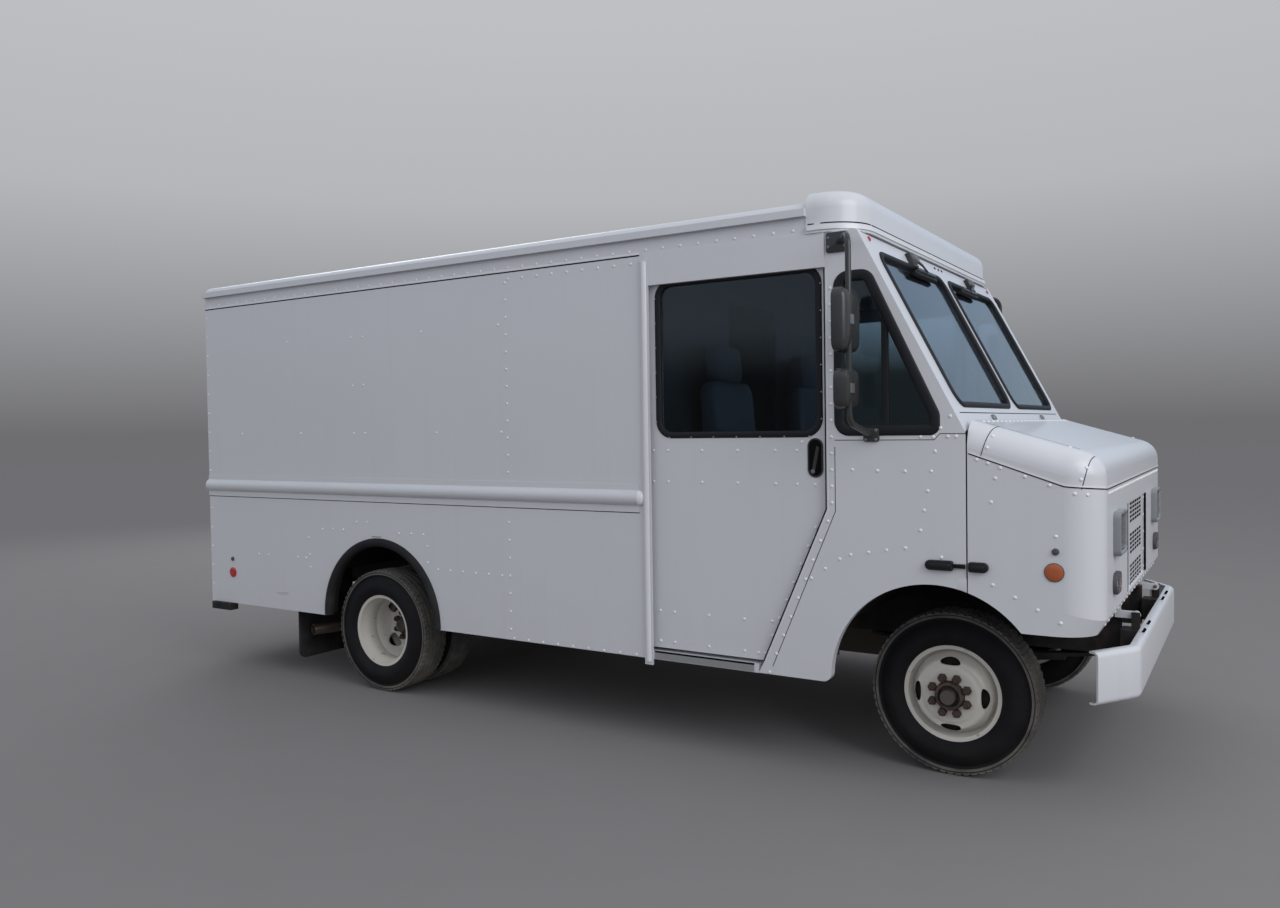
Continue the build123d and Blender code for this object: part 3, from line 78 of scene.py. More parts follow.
@dataclass
class Shape:
    """A surface: its points, and its faces grouped by their number of corners."""

    points: np.ndarray
    faces: list[np.ndarray]

    def mirrored(self) -> "Shape":
        """The same surface on the other side of the van, with its faces turned to point outward."""
        return Shape(self.points * (1.0, -1.0, 1.0), [face[:, ::-1] for face in self.faces])

    def moved(self, offset: Point) -> "Shape":
        """The same surface, shifted by an offset."""
        return Shape(self.points + np.array(offset), self.faces)

    def on(self, side: Side) -> "Shape":
        """The surface on the side asked for, when it was worked out on the right."""
        return self if side is Side.RIGHT else self.mirrored()


def join(shapes: list[Shape]) -> Shape:
    """Several surfaces as one.

    Args:
        shapes: The surfaces, whose faces are renumbered by the points that come before them.

    Returns:
        One surface with all points and faces.
    """
    starts = np.cumsum([0] + [len(shape.points) for shape in shapes[:-1]])
    faces = [face + start for shape, start in zip(shapes, starts) for face in shape.faces]
    return Shape(np.concatenate([shape.points for shape in shapes]), faces)


def both(shape: Shape) -> Shape:
    """A surface of the right side together with its mirror image."""
    return join([shape, shape.mirrored()])


def lattice(points: np.ndarray, wrap_rows: bool = False, wrap_columns: bool = False) -> Shape:
    """Four-cornered faces over a grid of points.

    Args:
        points: The grid, rows by columns by three.
        wrap_rows: Whether the last row joins the first.
        wrap_columns: Whether the last column joins the first.

    Returns:
        The surface whose face at a row and column joins it to the next row and column.
    """
    rows, columns = points.shape[:2]
    row, column = np.meshgrid(
        np.arange(rows if wrap_rows else rows - 1),
        np.arange(columns if wrap_columns else columns - 1),
        indexing="ij",
    )
    next_row = (row + 1) % rows
    next_column = (column + 1) % columns
    corners = (
        row * columns + column,
        row * columns + next_column,
        next_row * columns + next_column,
        next_row * columns + column,
    )
    return Shape(points.reshape(-1, 3), [np.stack(corners, -1).reshape(-1, 4)])


def capped(surface: Shape, count: int) -> Shape:
    """A surface of rings of count points, closed by a face on its first and on its last ring."""
    last = len(surface.points) - count
    surface.faces.append(np.stack([np.arange(count)[::-1], last + np.arange(count)]))
    return surface


def carry(profile: np.ndarray, path: np.ndarray, across: np.ndarray, upward: np.ndarray, loop: bool = False) -> Shape:
    """A closed profile carried along a path.

    A point of the surface is path + a * across + b * upward, where (a, b) runs round the profile.

    Args:
        profile: The profile's points, each a pair.
        path: The path's points.
        across: The direction of the profile's first coordinate at each point of the path.
        upward: The direction of its second coordinate.
        loop: Whether the path closes on itself. An open one gets flat ends.

    Returns:
        The closed surface.
    """
    grid = path[:, None] + profile[None, :, :1] * across[:, None] + profile[None, :, 1:] * upward[:, None]
    surface = lattice(grid, loop, True)
    return surface if loop else capped(surface, len(profile))


def directions(path: np.ndarray, loop: bool) -> np.ndarray:
    """The unit tangent at each point of a path, from its two neighbours."""
    if loop:
        step = np.roll(path, -1, 0) - np.roll(path, 1, 0)
    else:
        step = np.gradient(path, axis=0)
    return step / np.linalg.norm(step, axis=1, keepdims=True)


def band(profile: np.ndarray, path: np.ndarray, normal: Point, loop: bool = True) -> Shape:
    """A profile carried along a path that lies in a plane.

    The profile's first coordinate points sideways in the plane, and its second along the plane's normal.
    """
    upward = np.broadcast_to(np.array(normal, float), path.shape)
    across = np.cross(directions(path, loop), upward)
    return carry(profile, path, across, upward, loop)


def arc(radius: float, start: float, stop: float, steps: int) -> np.ndarray:
    """Points of an arc about zero: radius times (cos a, sin a), with a from start to stop in degrees."""
    angle = np.radians(np.linspace(start, stop, steps))
    return radius * np.stack([np.cos(angle), np.sin(angle)], -1)


def circle(radius: float, steps: int) -> np.ndarray:
    """Points round a circle about zero, without the first one again."""
    return arc(radius, 0, 360, steps + 1)[:-1]


def rounded(corners: list[tuple[float, float]], radii: list[float] | float, steps: int = 6) -> np.ndarray:
    """A closed outline with an arc at each corner.

    The arc's centre lies on the corner's bisector at radius / sin(half the corner), and the arc runs
    from one touching point to the other.

    Args:
        corners: The outline's corners in order.
        radii: The radius at each corner, or one for all.
        steps: Points on each arc.

    Returns:
        The outline's points.
    """
    points = np.array(corners, float)
    count = len(points)
    sizes = np.broadcast_to(np.array(radii, float), (count,))
    back = np.roll(points, 1, 0) - points
    ahead = np.roll(points, -1, 0) - points
    back /= np.linalg.norm(back, axis=1, keepdims=True)
    ahead /= np.linalg.norm(ahead, axis=1, keepdims=True)
    half = np.arccos(np.clip((back * ahead).sum(1), -1, 1)) / 2
    bisector = back + ahead
    bisector /= np.linalg.norm(bisector, axis=1, keepdims=True)
    centre = points + bisector * (sizes / np.sin(half))[:, None]
    reach = (sizes / np.tan(half))[:, None]
    first = points + back * reach - centre
    last = points + ahead * reach - centre
    share = np.linspace(0, 1, steps)[None, :, None]
    turn = (math.pi - 2 * half)[:, None, None]
    spread = np.sin(turn)
    weight_first = np.sin((1 - share) * turn) / spread
    weight_last = np.sin(share * turn) / spread
    curve = centre[:, None] + first[:, None] * weight_first + last[:, None] * weight_last
    return curve.reshape(-1, 2)


def box_outline(width: float, height: float, radius: float, steps: int = 6) -> np.ndarray:
    """A rounded rectangle about zero, run anticlockwise."""
    w, h = width / 2, height / 2
    return rounded([(w, -h), (w, h), (-w, h), (-w, -h)], radius, steps)


def plate(outline: np.ndarray, thickness: float, edge: float, place) -> Shape:
    """A flat plate with a rounded rim, closed by a face at each side.

    The outline is drawn in by edge * (1 - cos a) while the height rises by edge * sin a.

    Args:
        outline: The plate's outline, pairs of points, run anticlockwise.
        thickness: How far it stands above its plane. It also reaches as far as edge below it.
        edge: The rim's rounding.
        place: A function that turns pairs and heights into points of the frame.

    Returns:
        The closed plate.
    """
    angle = np.radians(np.linspace(0, 90, 4))
    inset = np.concatenate([[0.0], edge * (1 - np.cos(angle))])
    height = np.concatenate([[-edge], thickness - edge + edge * np.sin(angle)])
    tangent = directions(outline, True)
    inward = np.stack([-tangent[:, 1], tangent[:, 0]], -1)
    rings = outline[None] + inset[:, None, None] * inward[None]
    levels = np.broadcast_to(height[:, None], rings.shape[:2])
    return capped(lattice(place(rings, levels), False, True), len(outline))


def across_side(half: float):
    """A placer for the right side: pairs are (x, z), heights stand out of the side plane."""
    return across_plane((0, -half, 0), (1, 0, 0), (0, 0, 1))


def across_front(x: float):
    """A placer for planes that face forward: pairs are (y, z), heights stand out along X."""
    return across_plane((x, 0, 0), (0, 1, 0), (0, 0, 1))


def across_rear(x: float):
    """A placer for planes that face back: pairs are (-y, z), heights stand out against X."""
    return across_plane((x, 0, 0), (0, -1, 0), (0, 0, 1))


def turned(profile: np.ndarray, centre: Point, sides: int, closed: bool = True) -> Shape:
    """A profile turned about a wheel's axle.

    A point is centre + (r cos a, -out, r sin a), where out is measured away from the van on the right side.

    Args:
        profile: Pairs of radius and out.
        centre: The wheel's centre.
        sides: Steps round the axle.
        closed: Whether the profile closes on itself. One that starts and ends on the axle doesn't.

    Returns:
        The turned surface.
    """
    angle = np.linspace(0, TAU, sides, endpoint=False)
    radius, out = profile[:, 0], profile[:, 1]
    x = centre[0] + np.cos(angle)[:, None] * radius
    z = centre[2] + np.sin(angle)[:, None] * radius
    y = np.broadcast_to(centre[1] - out, x.shape)
    return lattice(np.stack([x, y, z], -1), True, closed)


def bases(normals: np.ndarray) -> tuple[np.ndarray, np.ndarray]:
    """Two unit directions square to each normal and to each other."""
    steep = np.abs(normals[:, 2:3]) > 0.9
    guide = np.where(steep, np.array([[1.0, 0.0, 0.0]]), np.array([[0.0, 0.0, 1.0]]))
    first = np.cross(guide, normals)
    first /= np.linalg.norm(first, axis=1, keepdims=True)
    return first, np.cross(normals, first)


def studs(places: np.ndarray, normal, profile: np.ndarray, sides: int) -> Shape:
    """The same small turned form at many places at once.

    A point is place + r (cos a * first + sin a * second) + h * normal, for each pair (r, h) of the
    profile, and the last pair's ring is closed by one face, as is the first.

    Args:
        places: Where each one stands.
        normal: The direction it stands in, one for all or one for each.
        profile: Pairs of radius and height, from the foot to the top.
        sides: Corners of each ring: six for a bolt head, more for a rivet.

    Returns:
        All of them as one surface.
    """
    normals = np.broadcast_to(np.array(normal, float), places.shape)
    first, second = bases(normals)
    angle = np.linspace(0, TAU, sides, endpoint=False)
    spoke = first[:, None] * np.cos(angle)[None, :, None] + second[:, None] * np.sin(angle)[None, :, None]
    rings = (
        places[:, None, None]
        + profile[None, :, None, :1] * spoke[:, None]
        + profile[None, :, None, 1:] * normals[:, None, None]
    )
    levels = len(profile)
    one = lattice(rings[0], False, True)
    caps = np.stack([np.arange(sides)[::-1], (levels - 1) * sides + np.arange(sides)])
    starts = (np.arange(len(places)) * levels * sides)[:, None, None]
    faces = [(group[None] + starts).reshape(-1, group.shape[1]) for group in (one.faces[0], caps)]
    return Shape(rings.reshape(-1, 3), faces)


def rivet_heads(places: np.ndarray, normal, radius: float = 0.0080, height: float = 0.0044) -> Shape:
    """Round rivet heads: rings at radius * cos a and height * sin a, from the foot to near the top."""
    angle = np.radians([0, 35, 65])
    profile = np.stack([radius * np.cos(angle), height * np.sin(angle)], -1)
    foot = np.array([[radius, -0.001]])
    return studs(places, normal, np.concatenate([foot, profile]), 8)


def bolt_heads(places: np.ndarray, normal, radius: float, height: float) -> Shape:
    """Six-sided bolt heads with a chamfered top."""
    profile = np.array([(radius, -0.002), (radius, height * 0.75), (radius * 0.82, height)])
    return studs(places, normal, profile, 6)


def row(start: tuple[float, float], stop: tuple[float, float], pitch: float) -> np.ndarray:
    """Pairs in a straight row from start to stop, about pitch apart."""
    length = math.dist(start, stop)
    count = max(2, round(length / pitch) + 1)
    return np.linspace(start, stop, count)


def tube(path: np.ndarray, radius: float, sides: int = 16) -> Shape:
    """A round rod along a path, its frame carried on from point to point without twist."""
    tangent = directions(path, False)
    first, _ = bases(tangent[:1])
    across = [first[0]]
    for heading in tangent[1:]:
        side = across[-1] - heading * np.dot(across[-1], heading)
        across.append(side / np.linalg.norm(side))
    across_all = np.array(across)
    return carry(circle(radius, sides), path, across_all, np.cross(tangent, across_all))


def bent(corners: list[Point], radius: float, steps: int = 8) -> np.ndarray:
    """A path of straight runs with an arc of the same radius at each inner corner."""
    points = np.array(corners, float)
    pieces = [points[:1]]
    for before, corner, after in zip(points[:-2], points[1:-1], points[2:]):
        back = (before - corner) / np.linalg.norm(before - corner)
        ahead = (after - corner) / np.linalg.norm(after - corner)
        half = math.acos(float(np.clip(np.dot(back, ahead), -1, 1))) / 2
        bisector = (back + ahead) / np.linalg.norm(back + ahead)
        centre = corner + bisector * radius / math.sin(half)
        first = corner + back * radius / math.tan(half) - centre
        last = corner + ahead * radius / math.tan(half) - centre
        turn = math.pi - 2 * half
        share = np.linspace(0, 1, steps)[:, None]
        curve = (np.sin((1 - share) * turn) * first + np.sin(share * turn) * last) / math.sin(turn)
        pieces.append(centre + curve)
    pieces.append(points[-1:])
    return np.concatenate(pieces)


def ribbon(path: np.ndarray, normals, width: float, proud: float, sunk: float = 0.002) -> Shape:
    """A flat strip laid along a path on a surface: it stands proud of it and reaches a little below it."""
    upward = np.broadcast_to(np.array(normals, float), path.shape)
    across = np.cross(directions(path, False), upward)
    across = across / np.linalg.norm(across, axis=1, keepdims=True)
    half = width / 2
    profile = np.array([(half, -sunk), (half, proud), (-half, proud), (-half, -sunk)])
    return carry(profile, path, across, upward)


def dome(outline: np.ndarray, levels, place, about: tuple[float, float] | None = None) -> Shape:
    """A closed form of rings that follow an outline.

    Args:
        outline: Pairs of points round the form.
        levels: The scale about the middle and the height of each ring, as pairs.
        place: A function that turns pairs and heights into points of the frame.
        about: The point that the rings shrink towards. Without it, that is the outline's middle.

    Returns:
        The form, closed by a face at its first and last ring.
    """
    centre = outline.mean(0) if about is None else np.array(about)
    scale, height = np.array(levels, float).T
    rings = centre + (outline - centre)[None] * scale[:, None, None]
    surface = lattice(place(rings, np.broadcast_to(height[:, None], rings.shape[:2])), False, True)
    return capped(surface, len(outline))


def along(corners, step: float = 0.04) -> np.ndarray:
    """Points about a step apart on the straight runs between corners."""
    points = np.array(corners, float)
    runs = []
    for start, stop in zip(points[:-1], points[1:]):
        count = max(2, round(float(np.linalg.norm(stop - start)) / step) + 1)
        runs.append(np.linspace(start, stop, count)[:-1])
    return np.concatenate(runs + [points[-1:]])


def across_plane(origin: Point, right: Point, up: Point):
    """A placer for any plane: pairs run along right and up, heights along their cross product."""
    out = np.cross(right, up)

    def place(pairs: np.ndarray, height: np.ndarray) -> np.ndarray:
        """Pairs and heights as points of the frame."""
        flat = pairs[..., :1] * np.array(right) + pairs[..., 1:] * np.array(up)
        return np.array(origin) + flat + np.asarray(height)[..., None] * out

    return place


def slab(low: Point, high: Point) -> Shape:
    """A plain box between two opposite corners."""
    ring = [(low[0], low[1]), (high[0], low[1]), (high[0], high[1]), (low[0], high[1])]
    levels = np.array([[(x, y, z) for x, y in ring] for z in (low[2], high[2])])
    return capped(lattice(levels, False, True), len(ring))


def lay(name: str, starts: np.ndarray, headings) -> tuple[np.ndarray, np.ndarray]:
    """Where rays first meet a CAD node.

    Args:
        name: The node.
        starts: Where each ray starts.
        headings: The direction of the rays, one for all or one for each.

    Returns:
        The places where they meet it and its normals there, turned against the rays. A ray that misses
        is left out.
    """
    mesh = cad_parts[name].data
    tree = BVHTree.FromPolygons([corner.co for corner in mesh.vertices], [face.vertices for face in mesh.polygons])
    places, normals = [], []
    for start, heading in zip(starts, np.broadcast_to(np.array(headings, float), starts.shape)):
        place, normal, _, _ = tree.ray_cast(Vector(start), Vector(heading))
        if place is not None:
            places.append(place)
            normals.append(-normal if normal.dot(Vector(heading)) > 0 else normal)
    return np.array(places), np.array(normals)


def pad(placer, width: float, depth: float, height: float, radius: float) -> Shape:
    """An upholstered block: a rounded outline whose lower and upper rims are drawn in, with a soft crown."""
    soft = min(0.03, height / 3)
    levels = [(0.90, 0.0), (0.965, soft * 0.25), (1.0, soft), (1.0, height - soft), (0.975, height - soft * 0.45),
              (0.91, height - soft * 0.1), (0.72, height + 0.006), (0.40, height + 0.010), (0.08, height + 0.011)]
    return dome(box_outline(width, depth, radius, 7), levels, placer)


# Effects that several finishes share


def effect(name: str, inputs: dict[str, str], outputs: dict[str, str]) -> bpy.types.NodeTree:
    """A new shader node group with named sockets.

    Args:
        name: The group's name.
        inputs: The name and socket type of each input.
        outputs: The name and socket type of each output.

    Returns:
        The group, with its input and output nodes in it.
    """
    group = bpy.data.node_groups.new(name, "ShaderNodeTree")
    for label, kind in inputs.items():
        group.interface.new_socket(label, in_out="INPUT", socket_type=kind)
    for label, kind in outputs.items():
        group.interface.new_socket(label, in_out="OUTPUT", socket_type=kind)
    group.nodes.new("NodeGroupInput")
    group.nodes.new("NodeGroupOutput")
    return group


def node(tree: bpy.types.NodeTree, kind: str, settings: dict | None = None, inputs: dict | None = None):
    """A new node in a tree.

    Args:
        tree: The tree it goes into.
        kind: The node's type.
        settings: Its properties by name.
        inputs: Its inputs by name or number: an output socket is linked, anything else is the value.

    Returns:
        The node.
    """
    made = tree.nodes.new(kind)
    for key, value in (settings or {}).items():
        setattr(made, key, value)
    for key, value in (inputs or {}).items():
        if isinstance(value, bpy.types.NodeSocket):
            tree.links.new(value, made.inputs[key])
        else:
            made.inputs[key].default_value = value
    return made


def maths(tree: bpy.types.NodeTree, operation: str, *values, clamp: bool = False) -> bpy.types.NodeSocket:
    """The result of a Math node on numbers or sockets."""
    made = node(tree, "ShaderNodeMath", {"operation": operation, "use_clamp": clamp}, dict(enumerate(values)))
    return made.outputs[0]


def blend_colour(tree: bpy.types.NodeTree, share, first, second) -> bpy.types.NodeSocket:
    """Two colours mixed by a share."""
    made = node(tree, "ShaderNodeMix", {"data_type": "RGBA"}, {0: share, 6: first, 7: second})
    return made.outputs[2]


def noise(tree: bpy.types.NodeTree, vector, scale, detail: float) -> bpy.types.NodeSocket:
    """The value of a noise texture at a vector."""
    made = node(tree, "ShaderNodeTexNoise", None, {"Vector": vector, "Scale": scale, "Detail": detail})
    return made.outputs[0]


VALUE = "NodeSocketFloat"
VECTOR = "NodeSocketVector"
COLOUR = "NodeSocketColor"


def mottle_effect() -> bpy.types.NodeTree:
    """Cloudy variation of a colour, as on paint that has stood outdoors, with streaks run down by rain."""
    tree = effect(
        "mottle", {"Vector": VECTOR, "Colour": COLOUR, "Scale": VALUE, "Amount": VALUE, "Streaks": VALUE},
        {"Colour": COLOUR},
    )
    source, sink = tree.nodes["Group Input"].outputs, tree.nodes["Group Output"].inputs
    cloud = noise(tree, source["Vector"], source["Scale"], 4.0)
    drawn = node(tree, "ShaderNodeVectorMath", {"operation": "MULTIPLY"}, {0: source["Vector"], 1: (14, 14, 0.5)})
    streak = noise(tree, drawn.outputs[0], 1.0, 3.0)
    lift = maths(tree, "MULTIPLY", maths(tree, "SUBTRACT", cloud, 0.5), source["Amount"])
    run = maths(tree, "MULTIPLY", maths(tree, "SUBTRACT", streak, 0.55, clamp=True), source["Streaks"])
    level = maths(tree, "SUBTRACT", maths(tree, "ADD", lift, 1.0), run)
    scaled = node(tree, "ShaderNodeVectorMath", {"operation": "SCALE"}, {0: source["Colour"], "Scale": level})
    tree.links.new(scaled.outputs[0], sink["Colour"])
    return tree


def dust_effect() -> bpy.types.NodeTree:
    """Road dust that lies thickest near the ground and in patches."""
    tree = effect(
        "dust", {"Vector": VECTOR, "Colour": COLOUR, "Dust": COLOUR, "Top": VALUE, "Amount": VALUE},
        {"Colour": COLOUR, "Mask": VALUE},
    )
    source, sink = tree.nodes["Group Input"].outputs, tree.nodes["Group Output"].inputs
    height = node(tree, "ShaderNodeSeparateXYZ", None, {0: source["Vector"]}).outputs[2]
    patch = noise(tree, source["Vector"], 9.0, 6.0)
    low = maths(tree, "DIVIDE", maths(tree, "SUBTRACT", source["Top"], height), source["Top"], clamp=True)
    patchy = maths(tree, "MULTIPLY", maths(tree, "SUBTRACT", patch, 0.3), 2.2, clamp=True)
    mask = maths(tree, "MULTIPLY", maths(tree, "MULTIPLY", low, patchy), source["Amount"], clamp=True)
    tree.links.new(blend_colour(tree, mask, source["Colour"], source["Dust"]), sink["Colour"])
    tree.links.new(mask, sink["Mask"])
    return tree


def grain_effect() -> bpy.types.NodeTree:
    """The height of a fine uneven surface: cast grain over a slow waviness."""
    tree = effect("grain", {"Vector": VECTOR, "Scale": VALUE, "Wave": VALUE}, {"Height": VALUE})
    source, sink = tree.nodes["Group Input"].outputs, tree.nodes["Group Output"].inputs
    fine = noise(tree, source["Vector"], source["Scale"], 3.0)
    slow = noise(tree, source["Vector"], 2.5, 1.0)
    wave = maths(tree, "MULTIPLY", slow, source["Wave"])
    tree.links.new(maths(tree, "ADD", fine, wave), sink["Height"])
    return tree


def rust_effect() -> bpy.types.NodeTree:
    """Patches where rust shows, as a mask from 0 to 1."""
    tree = effect("rust", {"Vector": VECTOR, "Scale": VALUE, "Amount": VALUE}, {"Mask": VALUE})
    source, sink = tree.nodes["Group Input"].outputs, tree.nodes["Group Output"].inputs
    patch = noise(tree, source["Vector"], source["Scale"], 8.0)
    edge = maths(tree, "ADD", patch, maths(tree, "SUBTRACT", source["Amount"], 1.0))
    tree.links.new(maths(tree, "MULTIPLY", edge, 6.0, clamp=True), sink["Mask"])
    return tree


@dataclass
class Effects:
    """The shared node groups, each built once."""

    mottle: bpy.types.NodeTree
    dust: bpy.types.NodeTree
    grain: bpy.types.NodeTree
    rust: bpy.types.NodeTree


def build_effects() -> Effects:
    """All shared effects."""
    return Effects(mottle_effect(), dust_effect(), grain_effect(), rust_effect())


EFFECTS = build_effects()
ROAD_DUST: Colour = (0.30, 0.27, 0.23)
RUST_BROWN: Colour = (0.085, 0.040, 0.022)


@dataclass(frozen=True)
class Finish:
    """A painted, moulded or cast surface.

    Attributes:
        name: The material's name.
        slot: The record's material slot that it belongs to. Not used by this script.
        colour: Its colour where it is clean.
        roughness: How dull it is where it is clean.
        metallic: 1 for bare metal.
        coat: The share of clear coat over it.
        mottle: How much its colour varies.
        mottle_scale: Patches in a metre.
        streaks: How strongly rain has drawn dirt down it.
        grain: The depth of its fine unevenness in metres.
        grain_scale: Grains in a metre.
        wave: The slow waviness added to the grain.
        dust: How much road dust it carries.
        dust_top: The height at which the dust ends.
        rust: How far rust has spread, from 0 to 1.
        rust_scale: Patches of rust in a metre.
        shine: The strength of its reflections, 0.5 for common paint.
        painted_shade_behind: The X behind which it is painted black as the shade in slots, or 0 for nowhere.
    """

    name: str
    slot: str
    colour: Colour
    roughness: float
    metallic: float = 0.0
    coat: float = 0.0
    mottle: float = 0.08
    mottle_scale: float = 3.0
    streaks: float = 0.0
    grain: float = 0.0003
    grain_scale: float = 300.0
    wave: float = 0.0
    dust: float = 0.0
    dust_top: float = 1.0
    rust: float = 0.0
    rust_scale: float = 9.0
    shine: float = 0.5
    painted_shade_behind: float = 0.0

    def material(self) -> bpy.types.Material:
        """The finish as a material, made at its first use."""
        found = bpy.data.materials.get(self.name)
        return found or self._make()

    def _make(self) -> bpy.types.Material:
        """Mottle, rust and dust laid over each other, then painted shade behind an X where asked, then the grain as
        bump.
        """
        made = bpy.data.materials.new(self.name)
        made.use_nodes = True
        tree = made.node_tree
        shader = tree.nodes["Principled BSDF"]
        where = node(tree, "ShaderNodeTexCoord").outputs["Object"]
        mottle = node(tree, "ShaderNodeGroup", {"node_tree": EFFECTS.mottle}, {
            "Vector": where, "Colour": (*self.colour, 1), "Scale": self.mottle_scale, "Amount": self.mottle,
            "Streaks": self.streaks,
        })
        colour = mottle.outputs["Colour"]
        dull = None
        if self.rust:
            rust = node(tree, "ShaderNodeGroup", {"node_tree": EFFECTS.rust}, {
                "Vector": where, "Scale": self.rust_scale, "Amount": self.rust,
            })
            colour = blend_colour(tree, rust.outputs["Mask"], colour, (*RUST_BROWN, 1))
            dull = rust.outputs["Mask"]
            if self.metallic:
                metal = maths(tree, "SUBTRACT", self.metallic, rust.outputs["Mask"], clamp=True)
                tree.links.new(metal, shader.inputs["Metallic"])
        if self.dust:
            dust = node(tree, "ShaderNodeGroup", {"node_tree": EFFECTS.dust}, {
                "Vector": where, "Colour": colour, "Dust": (*ROAD_DUST, 1), "Top": self.dust_top, "Amount": self.dust,
            })
            colour = dust.outputs["Colour"]
            dull = maths(tree, "MAXIMUM", dull, dust.outputs["Mask"]) if dull else dust.outputs["Mask"]
        # Painted shade: behind the given X the colour turns near black, for the shadowed depths of slots.
        if self.painted_shade_behind:
            depth = node(tree, "ShaderNodeSeparateXYZ", None, {0: where}).outputs[0]
            slot_shade_mask = maths(tree, "LESS_THAN", depth, self.painted_shade_behind)
            colour = blend_colour(tree, slot_shade_mask, colour, (0.006, 0.006, 0.007, 1))
        tree.links.new(colour, shader.inputs["Base Color"])
        shader.inputs["Specular IOR Level"].default_value = self.shine
        if dull:
            rough = maths(tree, "MULTIPLY_ADD", dull, 0.9 - self.roughness, self.roughness)
            tree.links.new(rough, shader.inputs["Roughness"])
        else:
            shader.inputs["Roughness"].default_value = self.roughness
        if not (self.rust and self.metallic):
            shader.inputs["Metallic"].default_value = self.metallic
        shader.inputs["Coat Weight"].default_value = self.coat
        shader.inputs["Coat Roughness"].default_value = 0.08
        grain = node(tree, "ShaderNodeGroup", {"node_tree": EFFECTS.grain}, {
            "Vector": where, "Scale": self.grain_scale, "Wave": self.wave,
        })
        bump = node(tree, "ShaderNodeBump", None, {
            "Height": grain.outputs["Height"], "Distance": self.grain, "Strength": 1.0,
        })
        tree.links.new(bump.outputs[0], shader.inputs["Normal"])
        return made


@dataclass(frozen=True)
class Pane:
    """Clear or tinted glass and lamp lenses, with a film of dust in patches.

    Attributes:
        name: The material's name.
        slot: The record's material slot that it belongs to. Not used by this script.
        colour: The tint that light takes on going through.
        roughness: Its dullness where it is clean.
        ribs: The depth of moulded ribs in metres, 0 for plain glass.
    """

    name: str
    slot: str
    colour: Colour
    roughness: float = 0.02
    ribs: float = 0.0

    def material(self) -> bpy.types.Material:
        """The glass as a material, made at its first use."""
        found = bpy.data.materials.get(self.name)
        return found or self._make()

    def _make(self) -> bpy.types.Material:
        """A transmitting shader whose dullness rises where the film of dust lies."""
        made = bpy.data.materials.new(self.name)
        made.use_nodes = True
        tree = made.node_tree
        shader = tree.nodes["Principled BSDF"]
        where = node(tree, "ShaderNodeTexCoord").outputs["Object"]
        film = noise(tree, where, 4.0, 5.0)
        level = maths(tree, "MULTIPLY_ADD", film, 0.06, self.roughness)
        tree.links.new(level, shader.inputs["Roughness"])
        tint = node(tree, "ShaderNodeGroup", {"node_tree": EFFECTS.mottle}, {
            "Vector": where, "Colour": (*self.colour, 1), "Scale": 2.0, "Amount": 0.06, "Streaks": 0.1,
        })
        tree.links.new(tint.outputs["Colour"], shader.inputs["Base Color"])
        shader.inputs["Transmission Weight"].default_value = 1.0
        shader.inputs["IOR"].default_value = 1.45
        if self.ribs:
            wave = node(tree, "ShaderNodeTexWave", {"bands_direction": "Y"}, {"Vector": where, "Scale": 28.0})
            bump = node(tree, "ShaderNodeBump", None, {"Height": wave.outputs["Fac"], "Distance": self.ribs})
            tree.links.new(bump.outputs[0], shader.inputs["Normal"])
        return made


WHITE_PAINT = Finish(
    "white_enamel", "white_paint", (0.63, 0.64, 0.68), 0.36, coat=0.30, mottle=0.05, mottle_scale=1.6,
    streaks=0.10, grain=0.00025, grain_scale=160, wave=6.0, dust=0.16, dust_top=0.8,
)
# A lighter copy of the white paint, without dust or streaks: painted highlight for beads, lips, rail ends and strips
# that catch the light.
HIGHLIGHT_WHITE = Finish("white_painted_highlight", "white_paint", (0.74, 0.75, 0.78), 0.32, coat=0.3, mottle=0.04, grain=0.0001)
# A lighter white than the body's paint: painted highlight on rivet heads that catch the light.
RIVET_HIGHLIGHT = Finish("rivet_painted_highlight", "white_paint", (0.80, 0.81, 0.83), 0.3, coat=0.4, mottle=0.04, grain=0.0001)
# Near-black, dull and without shine: painted shade, laid as strips and plates in gaps, grooves, slots and recesses. It
# also colours the bumper's bolts and the cowl's dots.
SHADE_BLACK = Finish("painted_shade_black", "black_rubber", (0.006, 0.006, 0.007), 0.9, grain=0.0002, shine=0.05)
BLACK_RUBBER = Finish(
    "black_rubber_seal", "black_rubber", (0.012, 0.012, 0.015), 0.55, mottle=0.3, grain=0.0003, grain_scale=500,
    shine=0.3,
)
FLARE_RUBBER = Finish(
    "arch_rubber", "black_rubber", (0.014, 0.014, 0.016), 0.65, mottle=0.4, grain=0.0006, grain_scale=260,
    dust=0.2, dust_top=1.0, shine=0.2,
)
SIDEWALL = Finish(
    "tyre_sidewall", "tyre_rubber", (0.011, 0.0105, 0.012), 0.7, mottle=0.35, mottle_scale=14, grain=0.0004,
    grain_scale=420, dust=0.03, dust_top=0.9, shine=0.15,
)
TREAD = Finish(
    "tyre_tread", "tyre_rubber", (0.075, 0.072, 0.068), 0.85, mottle=0.7, mottle_scale=22, grain=0.0008,
    grain_scale=300, dust=0.5, dust_top=1.4,
)
WHEEL_PAINT = Finish(
    "wheel_enamel", "wheel_paint", (0.62, 0.60, 0.55), 0.42, coat=0.15, mottle=0.12, mottle_scale=9,
    grain=0.0003, dust=0.28, dust_top=0.9, rust=0.34, rust_scale=16,
)
HUB_IRON = Finish(
    "hub_iron", "cast_steel", (0.060, 0.048, 0.042), 0.75, metallic=0.4, mottle=0.6, mottle_scale=30,
    grain=0.0012, grain_scale=150, rust=0.52, rust_scale=30, dust=0.3,
)
